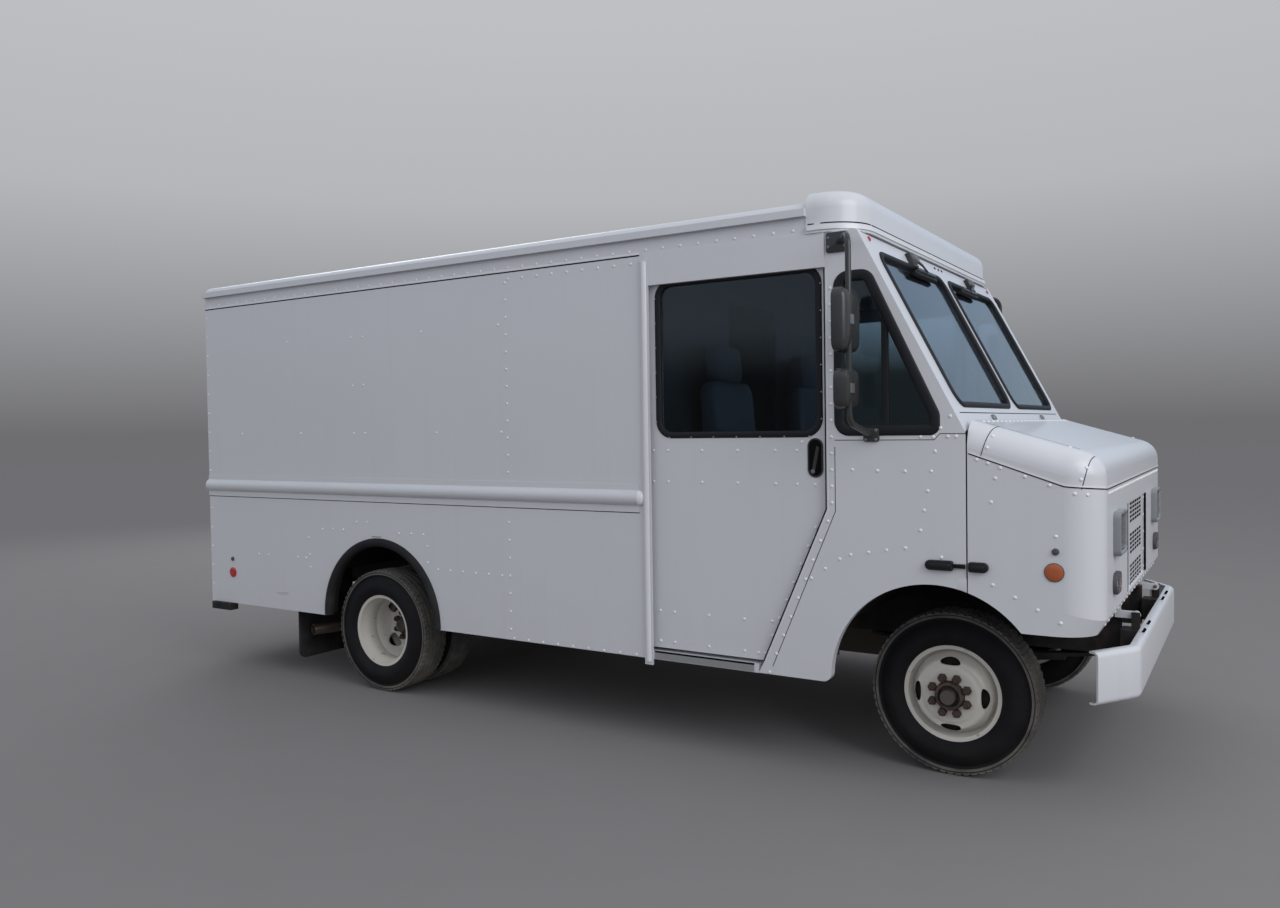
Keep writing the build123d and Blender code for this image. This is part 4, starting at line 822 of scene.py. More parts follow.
DRUM_IRON = Finish("drum_iron", "cast_steel", (0.020, 0.016, 0.014), 0.85, mottle=0.6, mottle_scale=30, shine=0.1)
NUT_RUST = Finish("rusty_nuts", "cast_steel", (0.068, 0.042, 0.032), 0.8, mottle=0.6, mottle_scale=60, grain=0.001)
HUB_CAP = Finish("hub_cap_steel", "cast_steel", (0.23, 0.23, 0.24), 0.5, metallic=0.6, mottle=0.4, mottle_scale=40)
CHASSIS_PAINT = Finish(
    "chassis_black", "chassis_paint", (0.014, 0.014, 0.015), 0.7, shine=0.25, mottle=0.5, mottle_scale=8, grain=0.0006,
    grain_scale=120, dust=0.3, dust_top=0.9, rust=0.42, rust_scale=8,
)
CAST_STEEL = Finish(
    "cast_steel", "cast_steel", (0.055, 0.048, 0.044), 0.7, metallic=0.5, mottle=0.6, mottle_scale=20,
    grain=0.0012, grain_scale=140, dust=0.5, dust_top=0.9, rust=0.5, rust_scale=14,
)
EXHAUST_STEEL = Finish(
    "exhaust_steel", "exhaust_steel", (0.20, 0.17, 0.145), 0.6, metallic=0.7, mottle=0.5, mottle_scale=18,
    grain=0.0005, rust=0.50, rust_scale=18, dust=0.4, dust_top=0.8,
)
RADIATOR_METAL = Finish(
    "radiator_metal", "radiator_metal", (0.10, 0.10, 0.105), 0.5, metallic=0.6, mottle=0.3, grain=0.002, grain_scale=90,
)
DARK_PLASTIC = Finish(
    "dark_plastic", "dark_plastic", (0.028, 0.030, 0.034), 0.55, shine=0.3, mottle=0.2, grain=0.0004, grain_scale=700,
)
MIRROR_BLACK = Finish(
    "mirror_black", "mirror_black", (0.024, 0.025, 0.029), 0.5, shine=0.35, mottle=0.25, grain=0.0004, grain_scale=600,
)
BARE_ALUMINIUM = Finish(
    "bare_aluminium", "bare_aluminium", (0.52, 0.53, 0.55), 0.38, metallic=0.85, mottle=0.25, mottle_scale=10,
    grain=0.0003, streaks=0.3,
)
SEAT_CLOTH = Finish(
    "seat_vinyl", "seat_cover", (0.17, 0.19, 0.24), 0.55, mottle=0.18, mottle_scale=12, grain=0.0005, grain_scale=900,
)
# Near black on the bare aluminium wheelhouses: painted shade inside the arches, with some road dust.
ARCH_SHADE = Finish(
    "arch_painted_shade", "bare_aluminium", (0.012, 0.012, 0.013), 0.9, shine=0.1, mottle=0.6, mottle_scale=8,
    grain=0.0008, grain_scale=120, dust=0.12, dust_top=1.3,
)
DECK_METAL = Finish(
    "deck_metal", "bare_aluminium", (0.20, 0.20, 0.21), 0.5, metallic=0.6, mottle=0.4, mottle_scale=7,
    grain=0.0006, grain_scale=200,
)
STRAP_RUBBER = Finish("strap_rubber", "black_rubber", (0.014, 0.014, 0.016), 0.5, mottle=0.3, grain=0.0004, shine=0.3)
SCRATCH = Finish("scratched_paint", "white_paint", (0.26, 0.25, 0.24), 0.7, mottle=0.8, mottle_scale=60)
WINDOW_GLASS = Pane("window_glass", "clear_glass", (0.42, 0.49, 0.53), 0.01)
LENS_CLEAR = Pane("lens_clear", "lamp_plastic", (0.90, 0.92, 0.93), 0.05, ribs=0.0003)
LENS_ROSE = Pane("lens_rose", "lamp_plastic", (0.93, 0.70, 0.64), 0.06, ribs=0.0003)
REFLECTOR_RED = Finish(
    "reflector_red", "lamp_plastic", (0.46, 0.012, 0.018), 0.18, coat=0.8, mottle=0.2, mottle_scale=90,
)
REFLECTOR_AMBER = Finish(
    "reflector_amber", "lamp_plastic", (0.40, 0.095, 0.028), 0.35, coat=0.3, mottle=0.2, mottle_scale=90,
)
LAMP_BOWL = Finish("lamp_bowl", "lamp_plastic", (0.72, 0.73, 0.75), 0.16, metallic=0.9, mottle=0.1)
LAMP_BEZEL = Finish("lamp_bezel", "lamp_plastic", (0.24, 0.25, 0.27), 0.4, mottle=0.12, coat=0.2)
MIRROR_GLASS = Finish("mirror_silver", "clear_glass", (0.80, 0.82, 0.84), 0.03, metallic=1.0, mottle=0.02, grain=0.0)

Part = tuple[Shape, Finish | Pane]


def piece(name: str, parts: list[Part], body: str, replaces: tuple[str, ...] = (), sharp: float = 38.0):
    """A finished object of the scene, riding on a body.

    Doubles are merged and all faces turned outward, which holds because every surface is closed.

    Args:
        name: The piece's name.
        parts: Its surfaces, each with the finish that it wears.
        body: The body that it moves with.
        replaces: The nodes that it stands for.
        sharp: The angle between faces, in degrees, above which an edge stays crisp.

    Returns:
        The object.
    """
    whole = join([shape for shape, _ in parts])
    finishes = list(dict.fromkeys(finish for _, finish in parts))
    mesh = bpy.data.meshes.new(name)
    faces = [corners for group in whole.faces for corners in group.tolist()]
    mesh.from_pydata(whole.points.tolist(), [], faces)
    counts = [sum(len(group) for group in shape.faces) for shape, _ in parts]
    index = np.repeat([finishes.index(finish) for _, finish in parts], counts)
    mesh.polygons.foreach_set("material_index", index.astype(np.int32))
    for finish in finishes:
        mesh.materials.append(finish.material())
    edit = bmesh.new()
    edit.from_mesh(mesh)
    bmesh.ops.remove_doubles(edit, verts=edit.verts, dist=1e-6)
    bmesh.ops.recalc_face_normals(edit, faces=edit.faces)
    edit.to_mesh(mesh)
    edit.free()
    mesh.shade_smooth()
    mesh.set_sharp_from_angle(angle=math.radians(sharp))
    made = bpy.data.objects.new(name, mesh)
    bpy.context.scene.collection.objects.link(made)
    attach(made, body)
    if replaces:
        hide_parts(*replaces)
    log.info("%s rides on %s, %d faces", name, body, len(mesh.polygons))
    return made


def dress(names: list[str], finish: Finish | Pane) -> None:
    """Gives CAD nodes their finish."""
    for name in names:
        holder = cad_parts[name]
        holder.data.materials.clear()
        holder.data.materials.append(finish.material())
        log.info("%s wears %s", name, finish.name)


def middle(name: str) -> Point:
    """The middle of a node's box."""
    low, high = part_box(name)
    return tuple((low + high) / 2)


FRONT_AXLE = middle("front_tyre_right")[0]
REAR_AXLE = middle("rear_tyres_right")[0]
HALF_WIDTH = -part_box("side_walls")[0][1]


def at(station: float) -> float:
    """X of a station given forward of the front axle."""
    return FRONT_AXLE + station


# Stations and heights that several pieces share. An arch is given by its centre's station and height,
# and the windshield's plane by its slope and its top edge's station and height.

BODY_REAR = -5.022
TRACK = -1.419
REAR_ARCH = (-3.348, 0.447)
FRONT_ARCH = (0.0, 0.450)
SEAM_Z = 2.450
SCREEN_TOP = (-0.316, 2.438)
SCREEN_SLOPE = 0.516
SCREEN_SIZE = math.hypot(1, SCREEN_SLOPE)
SCREEN_NORMAL = (1 / SCREEN_SIZE, 0, SCREEN_SLOPE / SCREEN_SIZE)
MARKER_DOT = np.array([(0.014, -0.001), (0.014, 0.006), (0.010, 0.009), (0.004, 0.010)])


def on_screen(pairs: np.ndarray, height: np.ndarray) -> np.ndarray:
    """Pairs (y, z) on the windshield's plane, raised along its outward normal."""
    x = at(SCREEN_TOP[0]) + (SCREEN_TOP[1] - pairs[..., 1]) * SCREEN_SLOPE
    z = pairs[..., 1] + height * SCREEN_SLOPE / SCREEN_SIZE
    return np.stack([x + height / SCREEN_SIZE, pairs[..., 0], z], -1)


def beside(pairs: np.ndarray, y: float) -> np.ndarray:
    """Places at pairs of station and height, all at the same Y."""
    return np.stack([at(0.0) + pairs[:, 0], np.full(len(pairs), y), pairs[:, 1]], -1)


def arch(profile: np.ndarray, radius: float, centre: tuple[float, float], span: tuple[float, float, int]) -> Shape:
    """A profile carried round a wheel arch, on both sides of the van.

    Args:
        profile: Pairs of Y and of distance outside the radius.
        radius: The arch's radius.
        centre: The station and height of its centre.
        span: Its first and last angle in degrees, and its number of steps.

    Returns:
        The closed surface of both sides.
    """
    turn = np.radians(np.linspace(*span))
    outward = np.stack([np.cos(turn), np.zeros_like(turn), np.sin(turn)], -1)
    path = np.array([at(centre[0]), 0.0, centre[1]]) + radius * outward
    sideways = np.broadcast_to(np.array([0.0, 1.0, 0.0]), path.shape)
    return both(carry(profile, path, sideways, outward))


def paired(parts: list[Part]) -> list[Part]:
    """Parts of the right side, each together with its mirror image."""
    return [(both(shape), finish) for shape, finish in parts]


def on_side(parts: list[Part], side: Side) -> list[Part]:
    """Parts that were worked out on the right, on the side asked for."""
    return [(shape.on(side), finish) for shape, finish in parts]


def rivet_sides(name: str, pairs: np.ndarray) -> None:
    """Rivets on both sides of the body, at pairs of station and height."""
    heads = rivet_heads(beside(pairs, -HALF_WIDTH), (0, -1, 0))
    # The heads wear a lighter white than the paint: painted highlight.
    piece(name, [(both(heads), RIVET_HIGHLIGHT)], "body")


def door_pieces(label: str, parts: list[Part]) -> None:
    """The same parts on each sliding door, riding on it."""
    for side in Side:
        piece(f"{side.word}_door_{label}", on_side(parts, side), f"{side.word}_door")


# Wheels


@dataclass
class Tyre:
    """A road tyre with ribbed tread, worked out on the right side.

    Attributes:
        centre: Its centre.
        radius: Its radius at the crown.
        width: Its width at the widest place.
        bead: The radius where it meets the rim.
        tread: The width of the tread.
        crown: How much lower the tread's edge lies than its middle.
        groove: The depth of the grooves round it.
        grooves: How many grooves there are.
        notches: How many notches each shoulder has.
    """

    centre: Point
    radius: float = 0.372
    width: float = 0.223
    bead: float = 0.218
    tread: float = 0.176
    crown: float = 0.005
    groove: float = 0.008
    grooves: int = 4
    notches: int = 64

    def casing(self) -> Shape:
        """Both sidewalls and the bead: arcs from bead to widest place to shoulder, with moulded ribs."""
        share = np.linspace(0, 1, 22)
        radius = self.bead + (self.radius - 0.016 - self.bead) * share
        bulge = self.width / 2 * (0.72 + 0.28 * np.sin(np.pi * np.clip(share * 1.15 + 0.08, 0, 1)))
        shoulder = np.clip((share - 0.82) / 0.18, 0, 1) ** 2
        out = bulge * (1 - shoulder) + self.tread / 2 * 1.04 * shoulder
        ribs = 0.0012 * (np.sin(share * 60) > 0.4) * (share > 0.12) * (share < 0.88)
        outer = np.stack([radius, out + ribs], -1)
        inner = np.stack([radius, -out - ribs], -1)[::-1]
        lip = np.array([(self.bead, 0.0)])
        return turned(np.concatenate([outer, inner, lip]), self.centre, 96)

    def crown_band(self) -> Shape:
        """The tread: radius falls by crown * (across / half)^2, and by the groove's depth in the grooves.

        Near both shoulders the radius also falls where the sine of the notch count times the angle is high.
        """
        half = self.tread / 2
        across = np.linspace(-half, half, 61)
        level = self.radius - self.crown * (across / half) ** 2
        centres = half * np.linspace(-0.6, 0.6, self.grooves)
        depth = (np.abs(across[:, None] - centres[None]) < 0.0045).any(1) * self.groove
        angle = np.linspace(0, TAU, 6 * self.notches, endpoint=False)
        cut = (np.sin(angle * self.notches) > 0.55)[:, None] * (np.abs(across) > 0.74 * half)[None] * 0.006
        sipe = (np.sin(angle * self.notches * 1.5) > 0.86)[:, None] * (np.abs(across) < 0.74 * half)[None] * 0.003
        radius = (level - depth)[None] - np.maximum(cut, sipe)
        foot = np.full((len(angle), 1), self.radius - 0.03)
        radius = np.concatenate([foot, radius, foot], 1)
        out = np.concatenate([[-half * 1.02], across, [half * 1.02]])
        x = self.centre[0] + np.cos(angle)[:, None] * radius
        z = self.centre[2] + np.sin(angle)[:, None] * radius
        y = np.broadcast_to(self.centre[1] - out[None], x.shape)
        return lattice(np.stack([x, y, z], -1), True, True)

    def parts(self, side: Side) -> list[Part]:
        """Casing and tread on the side asked for."""
        return [(self.casing().on(side), SIDEWALL), (self.crown_band().on(side), TREAD)]


@dataclass
class Rim:
    """A pressed steel wheel with four hand holes, worked out on the right side.

    Attributes:
        centre: Its centre.
        face: How far outward from the centre the disc is bolted up, negative when dished inward.
        dish: How far the disc swells between its seat and the barrel.
        half: Half the width between the flanges.
        flange: The radius of the flange.
        bead: The radius of the bead seat.
        bore: The radius of the hole round the hub.
        hole_circle: The radius on which the hand holes lie.
        hole: Half the length and half the width of a hand hole.
        sheet: The steel's thickness.
        turn: The angle of the first hand hole in degrees.
        seat: The radius of the flat seat that the nuts press on.
        holes: How many hand holes there are.
    """

    centre: Point
    face: float
    dish: float
    half: float = 0.083
    flange: float = 0.221
    bead: float = 0.206
    bore: float = 0.066
    hole_circle: float = 0.150
    hole: tuple[float, float] = (0.046, 0.0175)
    sheet: float = 0.009
    turn: float = 0.0
    seat: float = 0.122
    holes: int = 4

    def barrel(self) -> Shape:
        """The barrel: rolled flanges, bead seats and a well, as one closed profile turned about the axle."""
        drop = self.bead - 0.014
        outer = np.array([
            (self.bead, -self.half + 0.014), (self.flange - 0.004, -self.half + 0.010),
            (self.flange, -self.half + 0.003), (self.flange - 0.003, -self.half - 0.003),
            (self.bead - 0.006, -self.half), (self.bead - 0.009, -self.half + 0.010),
            (self.bead - 0.010, -self.half + 0.030), (drop - 0.008, -self.half + 0.046),
            (drop - 0.008, self.half - 0.046), (self.bead - 0.010, self.half - 0.030),
            (self.bead - 0.009, self.half - 0.010), (self.bead - 0.006, self.half),
            (self.flange - 0.003, self.half + 0.003), (self.flange, self.half - 0.003),
            (self.flange - 0.004, self.half - 0.010), (self.bead, self.half - 0.014),
        ])
        return turned(outer, self.centre, 96)

    def out_at(self, radius: np.ndarray) -> np.ndarray:
        """How far out the disc's face lies at a radius: flat at the seat, a small step, then down to the barrel."""
        share = np.clip((radius - 0.150) / (self.bead - 0.010 - 0.150), 0, 1)
        swell = np.sin(share * math.pi * 0.5) ** 2
        step = np.clip((radius - self.seat) / 0.006, 0, 1) * 0.006
        toward = (self.half - 0.050) * (1 if self.face > 0 else -1)
        return self.face - step + (toward - self.face) * swell + np.sin(share * math.pi) * self.dish

    def sector(self, middle_angle: float) -> Shape:
        """One quarter of the disc: rings that blend from the hand hole's oval to the quarter's own outline."""
        count = 48
        turn = np.linspace(0, TAU, count, endpoint=False)
        oval = np.stack([
            self.hole_circle + self.hole[1] * np.sin(turn), self.hole[0] / self.hole_circle * np.cos(turn)
        ], -1)
        reach = math.pi / self.holes
        c, s = np.cos(turn), np.sin(turn)
        stretch = 1 / np.maximum(np.abs(c), np.abs(s))
        outer_radius = self.bead - 0.008
        middle_radius = (outer_radius + self.bore) / 2
        quarter = np.stack([
            middle_radius + s * stretch * (outer_radius - middle_radius), c * stretch * reach
        ], -1)
        share = np.linspace(0, 1, 12)[:, None, None]
        polar = oval[None] * (1 - share) + quarter[None] * share
        radius, angle = polar[..., 0], polar[..., 1] + middle_angle
        out = self.out_at(radius)
        lip = np.stack([out[0], out[0] - self.sheet])[:, :]
        face = self._place(radius, angle, out)
        back = self._place(radius, angle, out - self.sheet)
        rim = self._place(np.stack([radius[0]] * 2), np.stack([angle[0]] * 2), lip)
        return join([lattice(face, False, True), lattice(back[:, ::-1], False, True), lattice(rim, False, True)])

    def _place(self, radius: np.ndarray, angle: np.ndarray, out: np.ndarray) -> np.ndarray:
        """Polar values round the axle as points of the frame."""
        return np.stack([
            self.centre[0] + radius * np.cos(angle), self.centre[1] - out, self.centre[2] + radius * np.sin(angle)
        ], -1)

    def edges(self) -> Shape:
        """The narrow bands that close the disc at its bore and at the barrel."""
        angle = np.linspace(0, TAU, 96, endpoint=False)
        bands = []
        for radius in (self.bore, self.bead - 0.008):
            out = self.out_at(np.full(len(angle), radius))
            ring = np.full((2, len(angle)), radius)
            edge = self._place(ring, np.stack([angle] * 2), np.stack([out, out - self.sheet]))
            bands.append(lattice(edge, False, True))
        return join(bands)

    def disc(self) -> Shape:
        """The whole disc with its hand holes."""
        angles = np.radians(self.turn) + np.arange(self.holes) * TAU / self.holes
        return join([self.sector(angle) for angle in angles] + [self.edges()])


@dataclass
class Hub:
    """Hub, cap and wheel nuts, worked out on the right side.

    Attributes:
        centre: The wheel's centre.
        face: How far outward the disc's seat lies.
        radius: The hub's radius.
        reach: How far the cap stands beyond the disc.
        back: How far the hub goes back behind the disc.
        circle: The radius on which the nuts stand.
        nuts: How many nuts there are.
    """

    centre: Point
    face: float
    radius: float = 0.064
    reach: float = 0.062
    back: float = 0.06
    circle: float = 0.0826
    nuts: int = 8

    def barrel(self) -> Shape:
        """The hub's casting: a barrel, a stepped shoulder and a flange, turned about the axle."""
        profile = np.array([
            (0.0, -self.back), (self.radius, -self.back), (self.radius, 0.012), (self.radius - 0.004, 0.020),
            (self.radius - 0.014, 0.026), (self.radius - 0.016, 0.62 * self.reach), (0.0, 0.62 * self.reach),
        ])
        return turned(profile + (0.0, self.face), self.centre, 48, False)

    def cap(self) -> Shape:
        """The grease cap: a short drum with a rounded rim."""
        wide = self.radius - 0.024
        high = self.reach
        profile = np.array([
            (0.0, 0.5 * high), (wide, 0.5 * high), (wide, high - 0.006), (wide - 0.002, high - 0.002),
            (wide - 0.006, high), (wide * 0.4, high), (wide * 0.36, high - 0.003), (0.0, high - 0.003),
        ])
        return turned(profile + (0.0, self.face), self.centre, 40, False)

    def cap_bolts(self) -> Shape:
        """Eight small bolts on the hub's shoulder."""
        angle = np.linspace(0, TAU, 8, endpoint=False)
        radius = self.radius - 0.019
        places = self._ring(radius, angle, 0.62 * self.reach)
        return bolt_heads(places, (0, -1, 0), 0.006, 0.006)

    def wheel_nuts(self) -> Shape:
        """The nuts, each with its washer cone and the stud's end."""
        angle = (np.arange(self.nuts) + 0.5) * TAU / self.nuts
        places = self._ring(self.circle, angle, 0.0)
        profile = np.array([
            (0.021, -0.004), (0.021, 0.003), (0.0175, 0.005), (0.0175, 0.019), (0.0145, 0.022),
        ])
        stud = np.array([(0.008, 0.018), (0.008, 0.030), (0.006, 0.032)])
        return join([studs(places, (0, -1, 0), profile, 6), studs(places, (0, -1, 0), stud, 10)])

    def _ring(self, radius: float, angle: np.ndarray, out: float) -> np.ndarray:
        """Places on a circle about the axle, measured outward from the disc's seat."""
        x = self.centre[0] + radius * np.cos(angle)
        z = self.centre[2] + radius * np.sin(angle)
        return np.stack([x, np.full_like(x, self.centre[1] - self.face - out), z], -1)


@dataclass
class Wheels:
    """All six wheels: single in front, twins behind.

    Attributes:
        front_face: The front disc's seat outward from the tyre's centre.
        twin_offset: The distance between a rear tyre's centre and the seat that both discs share.
        radius: The height of the axles above the ground.
    """

    front_face: float = 0.127
    twin_offset: float = 0.127
    radius: float = 0.372

    def build(self) -> None:
        """Builds the wheels of both sides."""
        for side in Side:
            self.front(side)
            self.rear(side)

    def front(self, side: Side) -> None:
        """The steered wheel: its disc swells out beside the tyre."""
        low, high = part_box("front_tyre_right")
        centre = (FRONT_AXLE, (low[1] + high[1]) / 2, self.radius)
        piece(f"front_tyre_{side.word}_tread", Tyre(centre).parts(side), f"front_wheel_{side.word}",
              (f"front_tyre_{side.word}",))
        rim = Rim(centre, self.front_face - 0.009, 0.004)
        hub = Hub(centre, self.front_face, reach=0.060)
        collar = np.array([
            (0.0, -0.060), (0.063, -0.060), (0.063, 0.016), (0.060, 0.020), (0.050, 0.020), (0.046, 0.012),
            (0.043, -0.008), (0.0, -0.008),
        ])
        cap = np.array([(0.0, -0.012), (0.026, -0.012), (0.026, 0.004), (0.023, 0.008), (0.008, 0.009), (0.0, 0.009)])
        drum = np.array([
            (0.060, 0.082), (0.158, 0.082), (0.166, 0.074), (0.166, 0.000), (0.160, 0.000), (0.160, 0.070),
            (0.060, 0.070),
        ])
        parts = [
            (rim.barrel(), WHEEL_PAINT), (rim.disc(), WHEEL_PAINT), (hub.wheel_nuts(), NUT_RUST),
            (turned(collar + (0.0, self.front_face), centre, 48, False), HUB_IRON),
            (turned(cap + (0.0, self.front_face), centre, 40, False), HUB_CAP),
            (turned(drum, centre, 64), DRUM_IRON),
        ]
        piece(f"front_wheel_{side.word}_disc", on_side(parts, side), f"front_wheel_{side.word}",
              (f"front_rim_{side.word}",))

    def rear(self, side: Side) -> None:
        """The twin wheels: two tyres, two discs back to back and the drum behind them."""
        low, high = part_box("rear_tyres_right")
        seat_y = (low[1] + high[1]) / 2
        tyres, rims = [], []
        for out in (1, -1):
            centre = (REAR_AXLE, seat_y - out * self.twin_offset, self.radius)
            tyres += Tyre(centre).parts(side)
            seat = -out * self.twin_offset + (0.0 if out > 0 else -0.009)
            rim = Rim(centre, seat, 0.0, hole=(0.050, 0.024), turn=45)
            rims += [(rim.barrel(), WHEEL_PAINT), (rim.disc(), WHEEL_PAINT)]
        hub = Hub((REAR_AXLE, seat_y, self.radius), 0.009, reach=0.055, back=0.02)
        drum = np.array([(0.0, -0.03), (0.150, -0.03), (0.160, -0.04), (0.163, -0.14), (0.0, -0.14)])
        drum_shape = turned(drum, (REAR_AXLE, seat_y, self.radius), 64, False)
        rims += [(hub.barrel(), HUB_IRON), (hub.cap(), HUB_IRON), (hub.cap_bolts(), NUT_RUST),
                 (hub.wheel_nuts(), NUT_RUST), (drum_shape, HUB_IRON)]
        piece(f"rear_tyres_{side.word}_tread", tyres, f"rear_wheels_{side.word}", (f"rear_tyres_{side.word}",))
        piece(f"rear_wheels_{side.word}_discs", on_side(rims, side), f"rear_wheels_{side.word}",
              (f"rear_rims_{side.word}",))


# Coachwork


@dataclass
class Coachwork:
    """Paint and rivets of the body's panels.

    Attributes:
        skirt_z: The height of the skirt's lower edge.
        rub_row_z: The height of the rivets over the rub rail.
        pitch: The distance between rivets in the long rows.
    """

    skirt_z: float = 0.432
    rub_row_z: float = 1.288
    pitch: float = 0.098

    def build(self) -> None:
        """Paints the panels, then adds what is fastened on them."""
        dress([
            "side_walls", "roof_panel", "roof_cap", "rear_frame", "rear_door_right", "rear_door_left", "cab_sides",
            "windshield_frame", "right_door", "left_door", "body_rails", "door_tracks",
        ], WHITE_PAINT)
        self.side_rivets()
        self.door_rivets()
        self.post_rivets()

    def side_rivets(self) -> None:
        """Rows along the seam, the rub rail, the arch and the skirt, and the posts' columns."""
        column = -2.322
        pairs = [
            row((BODY_REAR + 0.06, SEAM_Z + 0.024), (-0.62, SEAM_Z + 0.024), self.pitch),
            row((-2.30, SEAM_Z - 0.037), (-1.40, SEAM_Z - 0.037), self.pitch),
            row((BODY_REAR + 0.06, self.rub_row_z), (-1.50, self.rub_row_z), self.pitch),
            row((column, 2.394), (column, 1.357), 0.0945),
            row((column, 1.081), (column, 0.49), 0.098),
            row((-2.38, 0.783), (-2.863, 0.785), 0.096),
            row((-2.30, self.skirt_z + 0.009), (-1.50, self.skirt_z + 0.009), self.pitch),
            row((BODY_REAR + 0.018, 2.39), (BODY_REAR + 0.018, 0.55), 0.13),
            np.array([
                (-4.155, 2.179), (-3.560, 2.171), (-3.456, 2.169), (-2.962, 2.168), (-2.375, 2.168),
                (-3.550, 1.876), (-3.456, 1.876), (-4.642, 1.586), (-4.043, 1.586), (-3.547, 1.583),
                (-3.449, 1.582), (-2.854, 1.579), (-2.367, 1.578), (-3.543, 1.036), (-3.447, 1.037),
                (-3.858, 0.978), (-3.759, 0.983), (-3.664, 0.982), (-3.176, 0.981), (-3.074, 0.984),
                (-2.976, 0.983), (-2.945, 0.915), (-2.945, 0.821), (-3.991, 0.917), (-3.983, 0.811),
                (-3.978, 0.728), (-4.102, 0.785), (-4.021, 0.785), (-4.499, 0.783), (-4.400, 0.785),
            ]),
        ]
        rivet_sides("side_rivets", np.concatenate(pairs))

    def door_rivets(self) -> None:
        """Rivets of the sliding doors, on each door by itself."""
        inner = row((-0.535, 1.125), (-0.794, 0.522), 0.094)
        single = np.array([(-0.83, 0.520), (-0.757, 0.676), (-0.599, 1.515), (-0.535, 1.321)])
        columns = np.array([-1.397, -1.313, -1.121, -0.928, -0.732, -0.624])
        lower = np.array([-1.370, -1.287, -1.094, -0.902])
        rows_of = [np.stack([columns, np.full(6, z)], -1) for z in (1.476, 1.321)]
        rows_of += [np.stack([lower, np.full(4, z)], -1) for z in (0.673, 0.521)]
        pairs = np.concatenate(rows_of + [inner, single])
        outer_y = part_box("right_door")[0][1] + 0.003
        # The heads wear a lighter white than the paint: painted highlight.
        door_pieces("rivets", [(rivet_heads(beside(pairs, outer_y), (0, -1, 0)), RIVET_HIGHLIGHT)])

    def post_rivets(self) -> None:
        """Rivets down the cab's door post."""
        post = np.concatenate([
            row((-0.446, 2.20), (-0.446, 1.243), 0.0735),
            row((-0.466, 1.159), (-0.762, 0.442), 0.096),
            np.array([(-0.349, 1.392), (-0.412, 0.992), (-0.361, 1.014), (-0.481, 0.945), (-0.548, 0.897)]),
        ])
        heads = rivet_heads(*lay("cab_sides", beside(post, -HALF_WIDTH - 0.2), (0, 1, 0)))
        # The heads wear a lighter white than the paint: painted highlight.
        piece("door_post_rivets", [(both(heads), RIVET_HIGHLIGHT)], "body")


# Glass and its seals


